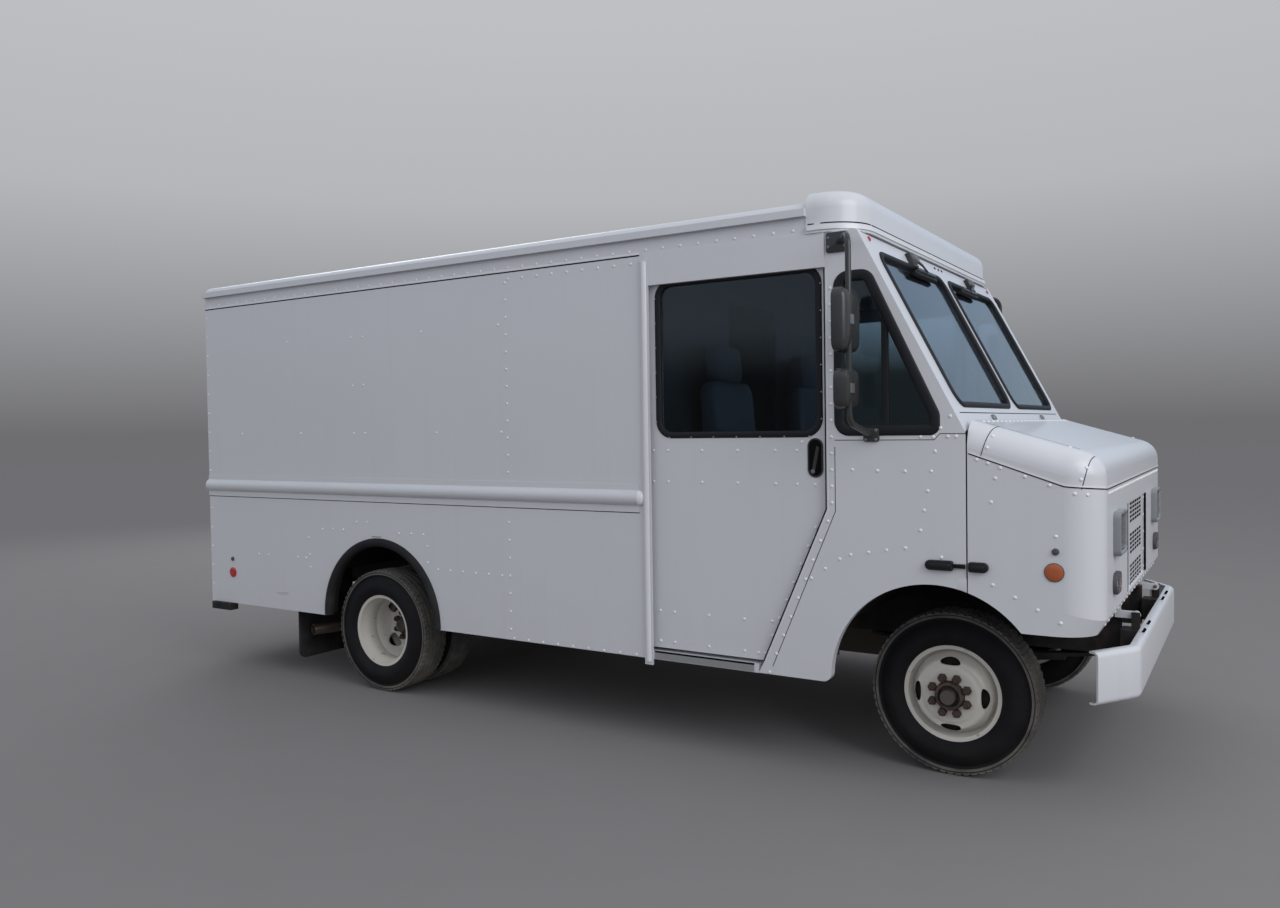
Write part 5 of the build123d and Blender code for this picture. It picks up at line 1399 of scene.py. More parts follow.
class Glazing:
    """The panes and the rubber seals that hold them."""

    def build(self) -> None:
        """Glass on the panes, then all the seals."""
        dress(["cab_glass", "right_door_glass", "left_door_glass", "rear_glass_right", "rear_glass_left"], WINDOW_GLASS)
        self.screen_seals()
        self.quarter_seals()
        self.door_seals()
        self.rear_seals()

    @staticmethod
    def bead(width: float, proud: float) -> np.ndarray:
        """A seal's half-round profile: half an ellipse over a short foot."""
        angle = np.radians(np.linspace(0, 180, 9))
        crown = np.stack([width / 2 * np.cos(angle), proud * np.sin(angle)], -1)
        return np.concatenate([[(width / 2, -0.012)], crown, [(-width / 2, -0.012)]])

    def seal(self, outline: np.ndarray, place, normal: Point, width: float, proud: float) -> Shape:
        """A seal run round an outline in a plane."""
        path = place(outline, np.zeros(len(outline)))
        return band(self.bead(width, proud), path, normal)

    def screen_seals(self) -> None:
        """Both windshield panes' seals."""
        outline = rounded([(-0.053, 1.672), (-0.053, 2.358), (-1.072, 2.358), (-1.072, 1.672)], 0.070, 10)
        shape = self.seal(outline, on_screen, SCREEN_NORMAL, 0.030, 0.010)
        piece("windshield_seals", [(both(shape), BLACK_RUBBER)], "body")

    def quarter_seals(self) -> None:
        """The quarter windows' seals and the upright that divides each."""
        outline = rounded([
            (at(-0.423), 1.550), (at(0.028), 1.550), (at(0.028), 1.632), (at(-0.268), 2.262), (at(-0.423), 2.262),
        ], [0.06, 0.035, 0.06, 0.06, 0.06], 8)
        tangent = directions(outline, True)
        outline = outline + 0.014 * np.stack([-tangent[:, 1], tangent[:, 0]], -1)
        shape = self.seal(outline, across_side(HALF_WIDTH), (0, -1, 0), 0.046, 0.008)
        upright = plate(
            np.array([(at(-0.216), 1.56), (at(-0.186), 1.56), (at(-0.186), 2.070), (at(-0.216), 2.130)]),
            0.010, 0.003, across_side(HALF_WIDTH - 0.012),
        )
        piece("quarter_seals", [(both(shape), BLACK_RUBBER), (both(upright), BLACK_RUBBER)], "body")

    def door_seals(self) -> None:
        """The door windows' wide seals, with their screws."""
        outer = -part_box("right_door")[0][1] - 0.003
        outline = np.array([(at(-0.9365), 1.927)]) + box_outline(0.851, 0.750, 0.072, 10)
        shape = self.seal(outline, across_side(outer), (0, -1, 0), 0.032, 0.007)
        screws = np.concatenate([
            row((-1.30, 1.541), (-0.56, 1.541), 0.122), row((-1.30, 2.313), (-0.56, 2.313), 0.122),
            row((-1.373, 1.62), (-1.373, 2.23), 0.122), row((-0.500, 1.62), (-0.500, 2.23), 0.122),
        ])
        heads = rivet_heads(beside(screws, -outer - 0.006), (0, -1, 0), 0.0035, 0.0015)
        door_pieces("seal", [(shape, BLACK_RUBBER), (heads, BARE_ALUMINIUM)])

    def rear_seals(self) -> None:
        """The rear door windows' seals."""
        low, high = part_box("rear_glass_right")
        outline = np.array([(-(low[1] + high[1]) / 2, (low[2] + high[2]) / 2)])
        outline = outline + box_outline(high[1] - low[1], high[2] - low[2], 0.078, 8)
        shape = self.seal(outline, across_rear(at(BODY_REAR)), (-1, 0, 0), 0.030, 0.008)
        for side in Side:
            piece(f"rear_{side.word}_window_seal", [(shape.on(side), BLACK_RUBBER)], f"rear_door_{side.word}")


# Chassis and arches


@dataclass
class Underside:
    """Finishes of the chassis and running gear, and the rubber round the rear arches.

    Attributes:
        flare_radius: The flare's inner radius.
        flare_width: Its width along the radius.
        flare_proud: How far it stands out of the side.
        flare_foot: How far it reaches in behind the side.
    """

    flare_radius: float = 0.445
    flare_width: float = 0.052
    flare_proud: float = 0.020
    flare_foot: float = 0.020

    def build(self) -> None:
        """Gives each node its finish."""
        dress(["frame_rails", "fuel_tank", "rear_bumper", "leaf_springs"], CHASSIS_PAINT)
        dress(["front_axle", "rear_axle", "engine_block", "knuckle_right", "knuckle_left"], CAST_STEEL)
        dress(["exhaust"], EXHAUST_STEEL)
        dress(["radiator"], RADIATOR_METAL)
        # The wheelhouses are painted near black as the shade inside the arches.
        dress(["wheelhouses"], ARCH_SHADE)
        self.arch_shade_strips()
        self.flares()
        self.step_tread()

    def arch_shade_strips(self) -> None:
        """Dark strips inside the rear wheel openings: painted shade on their inner edges."""
        profile = np.array([(-1.214, -0.003), (-1.120, -0.003), (-1.120, 0.002), (-1.214, 0.002)])
        piece("rear_arch_shade_strips", [(arch(profile, 0.491, REAR_ARCH, (-1, 181, 60)), FLARE_RUBBER)], "body")

    def flares(self) -> None:
        """Rubber flares round the rear wheel openings, and the flaps that hang behind the wheels."""
        half = self.flare_width / 2
        crown = arc(1.0, 90, -90, 11) * (self.flare_proud, half) + (0.0, half)
        foot_y = -HALF_WIDTH + self.flare_foot
        profile = np.concatenate([
            np.column_stack([-HALF_WIDTH - crown[:, 0], crown[:, 1]]), [(foot_y, 0.0), (foot_y, self.flare_width)],
        ])
        flare = arch(profile, self.flare_radius, REAR_ARCH, (-1, 181, 60))
        corners = [(-1.170, 0.110), (-0.720, 0.110), (-0.720, 0.720), (-1.170, 0.720)]
        sheet = rounded(corners, [0.05, 0.05, 0.004, 0.004], 8)
        flap = plate(sheet, 0.010, 0.002, across_front(at(-4.160)))
        piece("rear_flares_and_flaps", [(flare, FLARE_RUBBER), (both(flap), FLARE_RUBBER)], "body",
              ("fender_rubber",))

    def step_tread(self) -> None:
        """Rows of raised studs on the rear step."""
        low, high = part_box("rear_bumper")
        x, y = np.meshgrid(np.linspace(low[0] + 0.02, low[0] + 0.10, 4), np.linspace(-1.03, 1.03, 70))
        x = x + 0.012 * (np.arange(70)[:, None] % 2)
        places = np.stack([x.ravel(), y.ravel(), np.full(x.size, high[2])], -1)
        profile = np.array([(0.007, -0.001), (0.006, 0.0015), (0.003, 0.002)])
        piece("rear_step_studs", [(studs(places, (0, 0, 1), profile, 6), CHASSIS_PAINT)], "body")


# Nose


@dataclass
class Nose:
    """What is fastened on the tilting nose: seams, rivets, lamps, reflectors, latches, and arch liners and slot strips
    that are painted shade.

    Attributes:
        front: The station of its front face.
        corner: The radius of its upright corners.
        edge: The radius of the hood's long edges.
        lip_z: The height of the hood's edge in front.
        latch_z: The height of the straps.
        headlamp: Y and height of the right headlamp's middle.
        turn_lamp: Y and height of the right turn lamp's middle.
    """

    front: float = 0.660
    corner: float = 0.140
    edge: float = 0.110
    lip_z: float = 1.318
    latch_z: float = 0.993
    headlamp: tuple[float, float] = (-0.790, 1.120)
    turn_lamp: tuple[float, float] = (-0.840, 0.912)

    def build(self) -> None:
        """Paint, then what is fastened."""
        dress(["nose_shell"], WHITE_PAINT)
        face = float(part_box("grille")[1][0])
        # The grille's surfaces behind its front face are painted black as the shade in its slots.
        dress(["grille"], replace(WHITE_PAINT, name="grille_enamel_painted_shade", painted_shade_behind=face - 0.0012))
        self.seams()
        self.rivets()
        self.lamps()
        self.reflectors()
        self.latches()
        self.liners()

    def flank(self, pairs: np.ndarray) -> tuple[np.ndarray, np.ndarray]:
        """Places on the nose's right flank, seen square to the side, at pairs of station and height."""
        return lay("nose_shell", beside(pairs, -HALF_WIDTH - 0.3), (0, 1, 0))

    def round_corner(self, heights: np.ndarray) -> tuple[np.ndarray, np.ndarray]:
        """Places round the right front corner from side to front, seen from outside its axis."""
        turn = np.linspace(-math.pi / 2, 0, len(heights))
        axis = np.array([at(self.front - self.corner), -HALF_WIDTH + self.corner, 0.0])
        outward = np.stack([np.cos(turn), np.sin(turn), np.zeros_like(turn)], -1)
        starts = axis + 0.4 * outward
        starts[:, 2] = heights
        return lay("nose_shell", starts, -outward)

    def seams(self) -> None:
        """The hood's edge round the nose, the joints of its corner pieces and its seam on top."""
        side_points, side_normals = self.flank(along([(0.152, 1.464), (0.520, 1.334)]))
        corner_points, corner_normals = self.round_corner(np.linspace(1.333, self.lip_z, 22))
        across_points, across_normals = lay(
            "nose_shell",
            along([(at(self.front) + 0.3, -1.065, self.lip_z), (at(self.front) + 0.3, 0.0, self.lip_z)]), (-1, 0, 0),
        )
        path = np.concatenate([side_points, corner_points[1:], across_points])
        normals = np.concatenate([side_normals, corner_normals[1:], across_normals])
        # The gap under the hood's edge is a strip of painted shadow, and the lip over it a painted highlight in the
        # lighter white.
        gap = ribbon(path, normals, 0.004, 0.0014, 0.004)
        lip = ribbon(path + (0, 0, 0.006), normals, 0.006, 0.0022, 0.004)
        joints = [self.over_edge(0.201, 0.050, 1.431), self.over_edge(0.583, 0.035, 1.303)]
        top = lay("nose_shell", along([(at(0.19), -1.075, 2.0), (at(0.56), -1.075, 2.0)]), (0, 0, -1))
        joints.append(ribbon(*top, 0.003, 0.0005))
        parts = [(both(gap), SHADE_BLACK), (both(lip), HIGHLIGHT_WHITE)]
        # The joints are lines in the near-black of painted shade.
        parts += [(both(joint), SHADE_BLACK) for joint in joints]
        piece("nose_seams", parts, "nose")

    def over_edge(self, station: float, lean: float, low: float) -> Shape:
        """A joint's line from the side seam over the hood's edge to its top.

        The rays aim at a line along the edge's middle, from the side up to straight above it.
        """
        turn = np.linspace(0, math.pi / 2, 14)
        share = turn / turn[-1]
        centre_y, centre_z = -HALF_WIDTH + self.edge, low + 0.02
        starts = np.stack([
            at(station) + lean * share, centre_y - 0.5 * np.cos(turn), centre_z + 0.5 * np.sin(turn)
        ], -1)
        headings = np.stack([np.zeros_like(turn), np.cos(turn), -np.sin(turn)], -1)
        points, normals = lay("nose_shell", starts, headings)
        return ribbon(points, normals, 0.003, 0.0010, 0.004)

    def rivets(self) -> None:
        """Rows under the hood's edge, over the valance, across the hood's rear and round the arch."""
        across = row((-1.03, 1.299), (1.03, 1.299), 0.052)
        low = row((-1.00, 0.760), (1.00, 0.760), 0.104)
        forward = np.concatenate([across, low])
        starts = np.column_stack([np.full(len(forward), at(self.front) + 0.3), forward])
        heads = [rivet_heads(*lay("nose_shell", starts, (-1, 0, 0)))]
        back = row((0.0, 0.170), (1.02, 0.170), 0.085)
        above = np.column_stack([at(0.0) + back[:, 1], -back[:, 0], np.full(len(back), 2.0)])
        side = np.array([
            (0.186, 1.439), (0.231, 1.424), (0.279, 1.406), (0.259, 1.363), (0.374, 1.372), (0.468, 1.338),
            (0.244, 1.536), (0.226, 1.489), (0.242, 1.265), (0.560, 1.306), (0.603, 1.302), (0.490, 1.135),
            (0.527, 1.488), (0.599, 1.409), (0.582, 1.362),
            (0.247, 0.924), (0.335, 0.879), (0.421, 0.835), (0.507, 0.790),
        ])
        heads.append(both(rivet_heads(*lay("nose_shell", above, (0, 0, -1)))))
        heads.append(both(rivet_heads(*self.flank(side))))
        panel = np.concatenate([row((-0.364, 0.83), (-0.364, 1.19), 0.09), row((-0.27, 0.812), (0.0, 0.812), 0.09)])
        face = np.column_stack([np.full(len(panel), at(self.front) + 0.3), panel])
        heads.append(both(rivet_heads(*lay("grille", face, (-1, 0, 0)), 0.0055, 0.0025)))
        # The heads wear a lighter white than the paint: painted highlight.
        piece("nose_rivets", [(join(heads), RIVET_HIGHLIGHT)], "nose")

    def lamps(self) -> None:
        """Square headlamps in raised bezels and oval turn lamps below them."""
        place = across_front(at(self.front))
        parts: list[Part] = []
        edge = np.array([(0.008, -0.001), (0.008, 0.022), (0.006, 0.028), (0.001, 0.030), (-0.004, 0.029),
                         (-0.008, 0.024), (-0.008, -0.001)])
        ring = box_outline(0.210, 0.170, 0.020, 8) + self.headlamp
        parts.append((band(edge, place(ring, np.zeros(len(ring))), (1, 0, 0)), LAMP_BEZEL))
        glass = box_outline(0.196, 0.156, 0.016, 8) + self.headlamp
        bowl = [(0.98, 0.001), (0.98, 0.015), (0.95, 0.0152), (0.90, 0.010), (0.70, 0.005), (0.35, 0.003),
                (0.05, 0.0028)]
        lens = [(0.99, 0.0165), (1.0, 0.020), (0.97, 0.0225), (0.80, 0.0245), (0.45, 0.0255), (0.08, 0.0258)]
        parts += [(dome(glass, bowl, place), LAMP_BOWL), (dome(glass, lens, place), LENS_CLEAR)]
        lamp_y, lamp_z = self.headlamp
        x = at(self.front) + 0.026
        screws = np.array([(x, lamp_y + y, lamp_z + z) for y in (-0.1, 0.1) for z in (-0.08, 0.08)])
        screw = np.array([(0.005, 0.0), (0.005, 0.004), (0.003, 0.005)])
        parts.append((studs(screws, (1, 0, 0), screw, 10), HUB_CAP))
        slot = rounded([(0.080, -0.042), (0.080, 0.042), (-0.080, 0.042), (-0.080, -0.042)], 0.0415, 12)
        oval = slot * 0.93 + self.turn_lamp
        rim = np.array([(0.006, -0.001), (0.006, 0.014), (0.003, 0.018), (-0.003, 0.018), (-0.006, 0.013),
                        (-0.006, -0.001)])
        parts.append((band(rim, place(oval, np.zeros(len(oval))), (1, 0, 0)), DARK_PLASTIC))
        inner = slot * 0.88 + self.turn_lamp
        parts += [(dome(inner, bowl, place), LAMP_BOWL),
                  (dome(inner, [(s, h - 0.004) for s, h in lens], place), LENS_ROSE)]
        piece("nose_lamp_units", paired(parts), "nose", ("nose_lamps",))

    def reflectors(self) -> None:
        """An amber reflector and a small marker lamp over the front wheel on each side."""
        disc = np.array([(0.035, -0.001), (0.035, 0.005), (0.032, 0.007), (0.010, 0.0078)])
        ring = np.array([(0.038, -0.001), (0.038, 0.004), (0.036, 0.005)])
        low = np.array([(at(0.484), -HALF_WIDTH, 0.991)])
        high = np.array([(at(0.489), -HALF_WIDTH, 1.074)])
        parts = [
            (studs(low, (0, -1, 0), ring, 32), DARK_PLASTIC), (studs(low, (0, -1, 0), disc, 32), REFLECTOR_AMBER),
            (studs(high, (0, -1, 0), MARKER_DOT, 20), DARK_PLASTIC),
        ]
        piece("nose_reflectors", paired(parts), "nose")

    def latches(self) -> None:
        """Rubber straps across the gap between body and nose, with a rounded grip on the nose."""
        place = across_side(HALF_WIDTH)

        def grip(start: float, stop: float, half: float, radii: list[float], height: float) -> Shape:
            """A rounded bar between two stations."""
            low, high = self.latch_z - half, self.latch_z + half
            outline = rounded([(at(start), low), (at(stop), low), (at(stop), high), (at(start), high)], radii, 8)
            return both(plate(outline, height, 0.005, place))

        nose = [
            grip(0.152, 0.232, 0.021, [0.008, 0.0205, 0.0205, 0.008], 0.020),
            grip(0.160, 0.218, 0.010, [0.009] * 4, 0.025),
        ]
        body = [
            grip(-0.028, 0.088, 0.021, [0.0205, 0.008, 0.008, 0.0205], 0.020),
            grip(-0.012, 0.080, 0.010, [0.009] * 4, 0.025), grip(0.080, 0.138, 0.009, [0.002] * 4, 0.014),
        ]
        piece("nose_latch_grips", [(shape, STRAP_RUBBER) for shape in nose], "nose", ("hood_latches",))
        piece("body_latch_straps", [(shape, STRAP_RUBBER) for shape in body], "body", ("latch_anchors",))

    def liners(self) -> None:
        """Dark liners inside the nose over the front wheels, as far as the firewall: sheets of painted shade that hide
        the nose's white inside. Also dark strips of painted shade in the grille's side slots.
        """
        profile = np.array([(-1.184, -0.002), (-0.560, -0.002), (-0.560, 0.002), (-1.184, 0.002)])
        piece("front_arch_shade_liners", [(arch(profile, 0.476, FRONT_ARCH, (40, 71, 18)), FLARE_RUBBER)], "nose")
        slot = np.array([(at(self.front), -0.393, 0.806), (at(self.front), -0.393, 1.212)])
        piece("grille_slot_shade_strips", [(both(ribbon(slot, (1, 0, 0), 0.018, 0.0010, 0.007)), SHADE_BLACK)], "nose")


# Trim


class Trim:
    """Rails, strips, lamps and marks on the body, and the front bumper."""

    def build(self) -> None:
        """All trim."""
        self.side_lines()
        self.track_strips()
        self.rail_ends()
        self.sills()
        self.cab_lines()
        self.door_handles()
        self.side_marks()
        self.tail()
        self.bumper()
        self.roof_lines()

    @staticmethod
    def level(stations: tuple[float, float], z: float, width: float, proud: float, out: float = 0.0) -> Shape:
        """A strip along the side at one height, on both sides."""
        ends = [(at(stations[0]), -HALF_WIDTH - out, z), (at(stations[1]), -HALF_WIDTH - out, z)]
        return both(ribbon(along(ends, 0.5), (0, -1, 0), width, proud))

    def side_lines(self) -> None:
        """The seam under the roof as a strip of painted shade, with a bead over it in the lighter white of painted
        highlight.
        """
        ends = (BODY_REAR + 0.004, TRACK - 0.03)
        parts = [
            (self.level(ends, SEAM_Z, 0.006, 0.0008), SHADE_BLACK),
            (self.level(ends, SEAM_Z + 0.010, 0.012, 0.003), HIGHLIGHT_WHITE),
        ]
        piece("side_seams", parts, "body")

    def track_strips(self) -> None:
        """Half-round covers on the door tracks."""
        path = along([(at(TRACK), -HALF_WIDTH - 0.009, 0.420), (at(TRACK), -HALF_WIDTH - 0.009, 2.415)], 1.0)
        profile = np.concatenate([arc(0.015, 0, 180, 9) * (1.0, 0.7), [(-0.015, -0.003), (0.015, -0.003)]])
        side = np.broadcast_to(np.array([1.0, 0.0, 0.0]), path.shape)
        out = np.broadcast_to(np.array([0.0, -1.0, 0.0]), path.shape)
        # The covers wear the lighter white of painted highlight.
        piece("door_track_strips", [(both(carry(profile, path, side, out)), HIGHLIGHT_WHITE)], "body")

    def rail_ends(self) -> None:
        """Domed front ends of the rub rails in the lighter white of painted highlight, and a thin line of painted
        shadow under each flange.
        """
        low, high, middle_z = 1.199, 1.277, 1.238
        angle = np.radians(np.linspace(90, -90, 13))
        z = middle_z + (high - low) / 2 * np.sin(angle)
        outline = np.stack([-HALF_WIDTH - 0.004 - 0.026 * np.cos(angle), z], -1)
        share = np.linspace(0, 0.97, 8)
        levels = np.stack([np.sqrt(1 - share**2), 0.034 * share], -1)
        cap = dome(outline, levels, across_front(at(-1.468)), (-HALF_WIDTH - 0.002, middle_z))
        line = self.level((BODY_REAR, -1.468), 1.1625, 0.004, 0.0006)
        piece("rub_rail_ends", [(both(cap), HIGHLIGHT_WHITE), (line, SHADE_BLACK)], "body")

    def sills(self) -> None:
        """A bright strip along each step under the door, with a strip of painted shade over it for the gap."""
        strip = self.level((TRACK + 0.03, -0.84), 0.450, 0.030, 0.003)
        gap = self.level((TRACK + 0.03, -0.84), 0.4695, 0.008, 0.0012)
        piece("step_strips", [(strip, BARE_ALUMINIUM), (gap, SHADE_BLACK)], "body")

    def cab_lines(self) -> None:
        """Laps of the cab's side panels and the rubber in the gap ahead of the door, drawn in the near-black of painted
        shade, with a lighter line of painted highlight beside the gap.
        """
        side = across_side(HALF_WIDTH)
        lines = []
        for corners in (
            [(-0.430, 1.523), (0.012, 1.522), (0.036, 1.548), (0.141, 1.547)],
            [(-0.430, 1.494), (-0.430, 1.205), (-0.745, 0.470)],
        ):
            pairs = along(corners, 0.3) + (at(0.0), 0.0)
            lines.append(ribbon(side(pairs, np.zeros(len(pairs))), (0, -1, 0), 0.003, 0.0005))
        edge = np.array([(-0.4735, 2.290), (-0.4735, 1.213), (-0.790, 0.492)]) + (at(0.0), 0.0)
        rubber = ribbon(side(edge, np.zeros(3)), (0, -1, 0), 0.0065, 0.0, 0.05)
        bright = ribbon(side(edge, np.zeros(3)) + (0.010, 0.0, 0), (0, -1, 0), 0.003, 0.001)
        corner = np.array([(0.104, 0.940), (0.104, 0.895), (0.124, 0.890), (0.1425, 0.884), (0.1425, 0.940)])
        filler = plate(corner + (at(0.0), 0.0), 0.0045, 0.0005, across_side(HALF_WIDTH - 0.004))
        seam = ribbon(np.array([(at(0.1445), -HALF_WIDTH + 0.001, 0.905), (at(0.1445), -HALF_WIDTH + 0.001, 1.560)]),
                      (0, -1, 0), 0.003, 0.0, 0.04)
        parts = [(both(join(lines)), SHADE_BLACK), (both(rubber), SHADE_BLACK), (both(bright), HIGHLIGHT_WHITE),
                 (both(seam), SHADE_BLACK), (both(filler), WHITE_PAINT)]
        piece("cab_side_seams", parts, "body")

    def door_handles(self) -> None:
        """Recessed handles: a black escutcheon, a flat cup in the near-black of painted shade for the recess, a black
        lever and a lock.
        """
        outer = -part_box("right_door")[0][1] - 0.0002
        place = across_side(outer)
        middle_x, middle_z = at(-0.533), 1.443
        slot = rounded([(0.034, -0.086), (0.034, 0.086), (-0.034, 0.086), (-0.034, -0.086)], 0.0335, 10)
        around = slot + (middle_x, middle_z)
        rim = np.array([(0.004, -0.001), (0.003, 0.0014), (-0.003, 0.0014), (-0.006, -0.001)])
        lever = np.array([(-0.016, -0.050), (0.000, -0.054), (0.020, 0.048), (0.006, 0.054)]) + (middle_x, middle_z)
        lock = np.array([(middle_x - 0.012, -outer, middle_z - 0.062)])
        cylinder = np.array([(0.010, 0.0), (0.010, 0.0012), (0.009, 0.0016)])
        shapes = [
            (plate(slot * 0.96 + (middle_x, middle_z), 0.0008, 0.0005, place), SHADE_BLACK),
            (band(rim, place(around, np.zeros(len(around))), (0, -1, 0)), MIRROR_BLACK),
            (plate(lever, 0.0015, 0.0005, place), MIRROR_BLACK),
            (studs(lock, (0, -1, 0), cylinder, 20), HUB_CAP),
        ]
        door_pieces("handle", shapes)

    def side_marks(self) -> None:
        """Scratches on the right side, where they show on the real van."""
        place = across_side(HALF_WIDTH)
        marks = []
        for start, stop, width in (
            ((-4.322, 0.535), (-4.202, 0.545), 0.003), ((-4.290, 0.528), (-4.215, 0.534), 0.002),
            ((-3.412, 0.951), (-3.329, 0.952), 0.006),
        ):
            pairs = along([start, stop], 0.03) + (at(0.0), 0.0)
            marks.append(ribbon(place(pairs, np.zeros(len(pairs))), (0, -1, 0), width, 0.0003))
        piece("side_scratches", [(join(marks), SCRATCH)], "body")

    def tail(self) -> None:
        """Red tail lamps at the rear, and a red reflector with a marker over it on each side."""
        rear = across_rear(at(BODY_REAR))
        base = rounded([(0.075, -0.045), (0.075, 0.045), (-0.075, 0.045), (-0.075, -0.045)], 0.030, 8)
        spot = base + (1.000, 0.640)
        disc = np.array([(0.034, -0.001), (0.034, 0.005), (0.031, 0.007), (0.010, 0.0078)])
        lens = [(0.80, 0.004), (0.84, 0.008), (0.82, 0.013), (0.70, 0.016), (0.35, 0.018), (0.06, 0.0185)]
        parts = [
            (plate(spot, 0.008, 0.003, rear), DARK_PLASTIC), (dome(spot, lens, rear), REFLECTOR_RED),
            (studs(np.array([(at(-4.780), -HALF_WIDTH, 0.643)]), (0, -1, 0), disc, 32), REFLECTOR_RED),
            (studs(np.array([(at(-4.780), -HALF_WIDTH, 0.735)]), (0, -1, 0), MARKER_DOT, 20), DARK_PLASTIC),
        ]
        piece("tail_lamp_units", paired(parts), "body", ("body_lamps",))

    def bumper(self) -> None:
        """The pressed front bumper with rounded edges, its bolts, brackets and the nose's hinge lugs."""
        tip, bend, face, end = 1.080, 0.870, 0.760, 0.626
        corners = [(at(end), -tip, 0.0), (at(face), -bend, 0.0), (at(face), bend, 0.0), (at(end), tip, 0.0)]
        path = bent(corners, 0.110, 9)
        heading = directions(path, False)
        upward = np.broadcast_to(np.array([0.0, 0.0, 1.0]), path.shape)
        across = np.cross(heading, upward)
        outer = rounded([(-0.044, 0.440), (0.0, 0.440), (0.0, 0.658), (-0.044, 0.658), (-0.044, 0.649),
                         (-0.009, 0.649), (-0.009, 0.449), (-0.044, 0.449)],
                        [0.002, 0.024, 0.024, 0.002, 0.002, 0.015, 0.015, 0.002], 6)
        parts: list[Part] = [(carry(outer, path, across, upward), WHITE_PAINT)]
        rods = np.array([(at(0.736), y, 0.655) for y in (-0.56, -0.36, 0.36, 0.56)])
        rod = np.array([(0.006, 0.0), (0.006, 0.022), (0.004, 0.024)])
        parts.append((studs(rods, (0.5, 0, 0.866), rod, 10), SHADE_BLACK))
        for y in (-1, 1):
            inner, outer_y = sorted((y * 0.395, y * 0.500))
            parts.append((slab((at(0.640), inner, 0.540), (at(0.751), outer_y, 0.649)), CHASSIS_PAINT))
            lug_a, lug_b = sorted((y * 0.462, y * 0.474))
            parts.append((slab((at(0.682), lug_a, 0.649), (at(0.718), lug_b, 0.726)), CHASSIS_PAINT))
            pin_a, pin_b = sorted((y * 0.434, y * 0.462))
            ring = circle(0.008, 16) + (at(0.700), 0.712)
            pin = np.array([[(u, w, v) for u, v in ring] for w in (pin_a, pin_b)])
            parts.append((capped(lattice(pin, False, True), len(ring)), CAST_STEEL))
        piece("front_bumper_pressing", parts, "body", ("front_bumper",))

    def roof_lines(self) -> None:
        """A groove of painted shade and a raised lip in the lighter white of painted highlight round the cap's lower
        edge.
        """
        low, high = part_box("roof_cap")
        radius = 0.17
        x_line, y_line = float(high[0]) - radius, float(low[1]) + radius
        turn = np.linspace(-math.pi / 2, 0, 22)
        outward = np.stack([np.cos(turn), np.sin(turn), np.zeros_like(turn)], -1)
        parts: list[Part] = []
        for z, width, proud, finish in ((2.492, 0.005, 0.0010, SHADE_BLACK), (2.472, 0.020, 0.006, HIGHLIGHT_WHITE)):
            side = along([(low[0] + 0.010, -1.6, z), (x_line, -1.6, z)], 0.05)[:-1]
            corner = np.array([x_line, y_line, z]) + 0.5 * outward
            front = along([(high[0] + 0.3, y_line, z), (high[0] + 0.3, 0.0, z)], 0.05)[1:]
            starts = np.concatenate([side, corner, front])
            inward, back = np.tile((0.0, 1.0, 0.0), (len(side), 1)), np.tile((-1.0, 0.0, 0.0), (len(front), 1))
            headings = np.concatenate([inward, -outward, back])
            points, normals = lay("roof_cap", starts, headings)
            parts.append((both(ribbon(points, normals, width, proud, 0.004)), finish))
        piece("roof_cap_lip", parts, "body")


# Cab


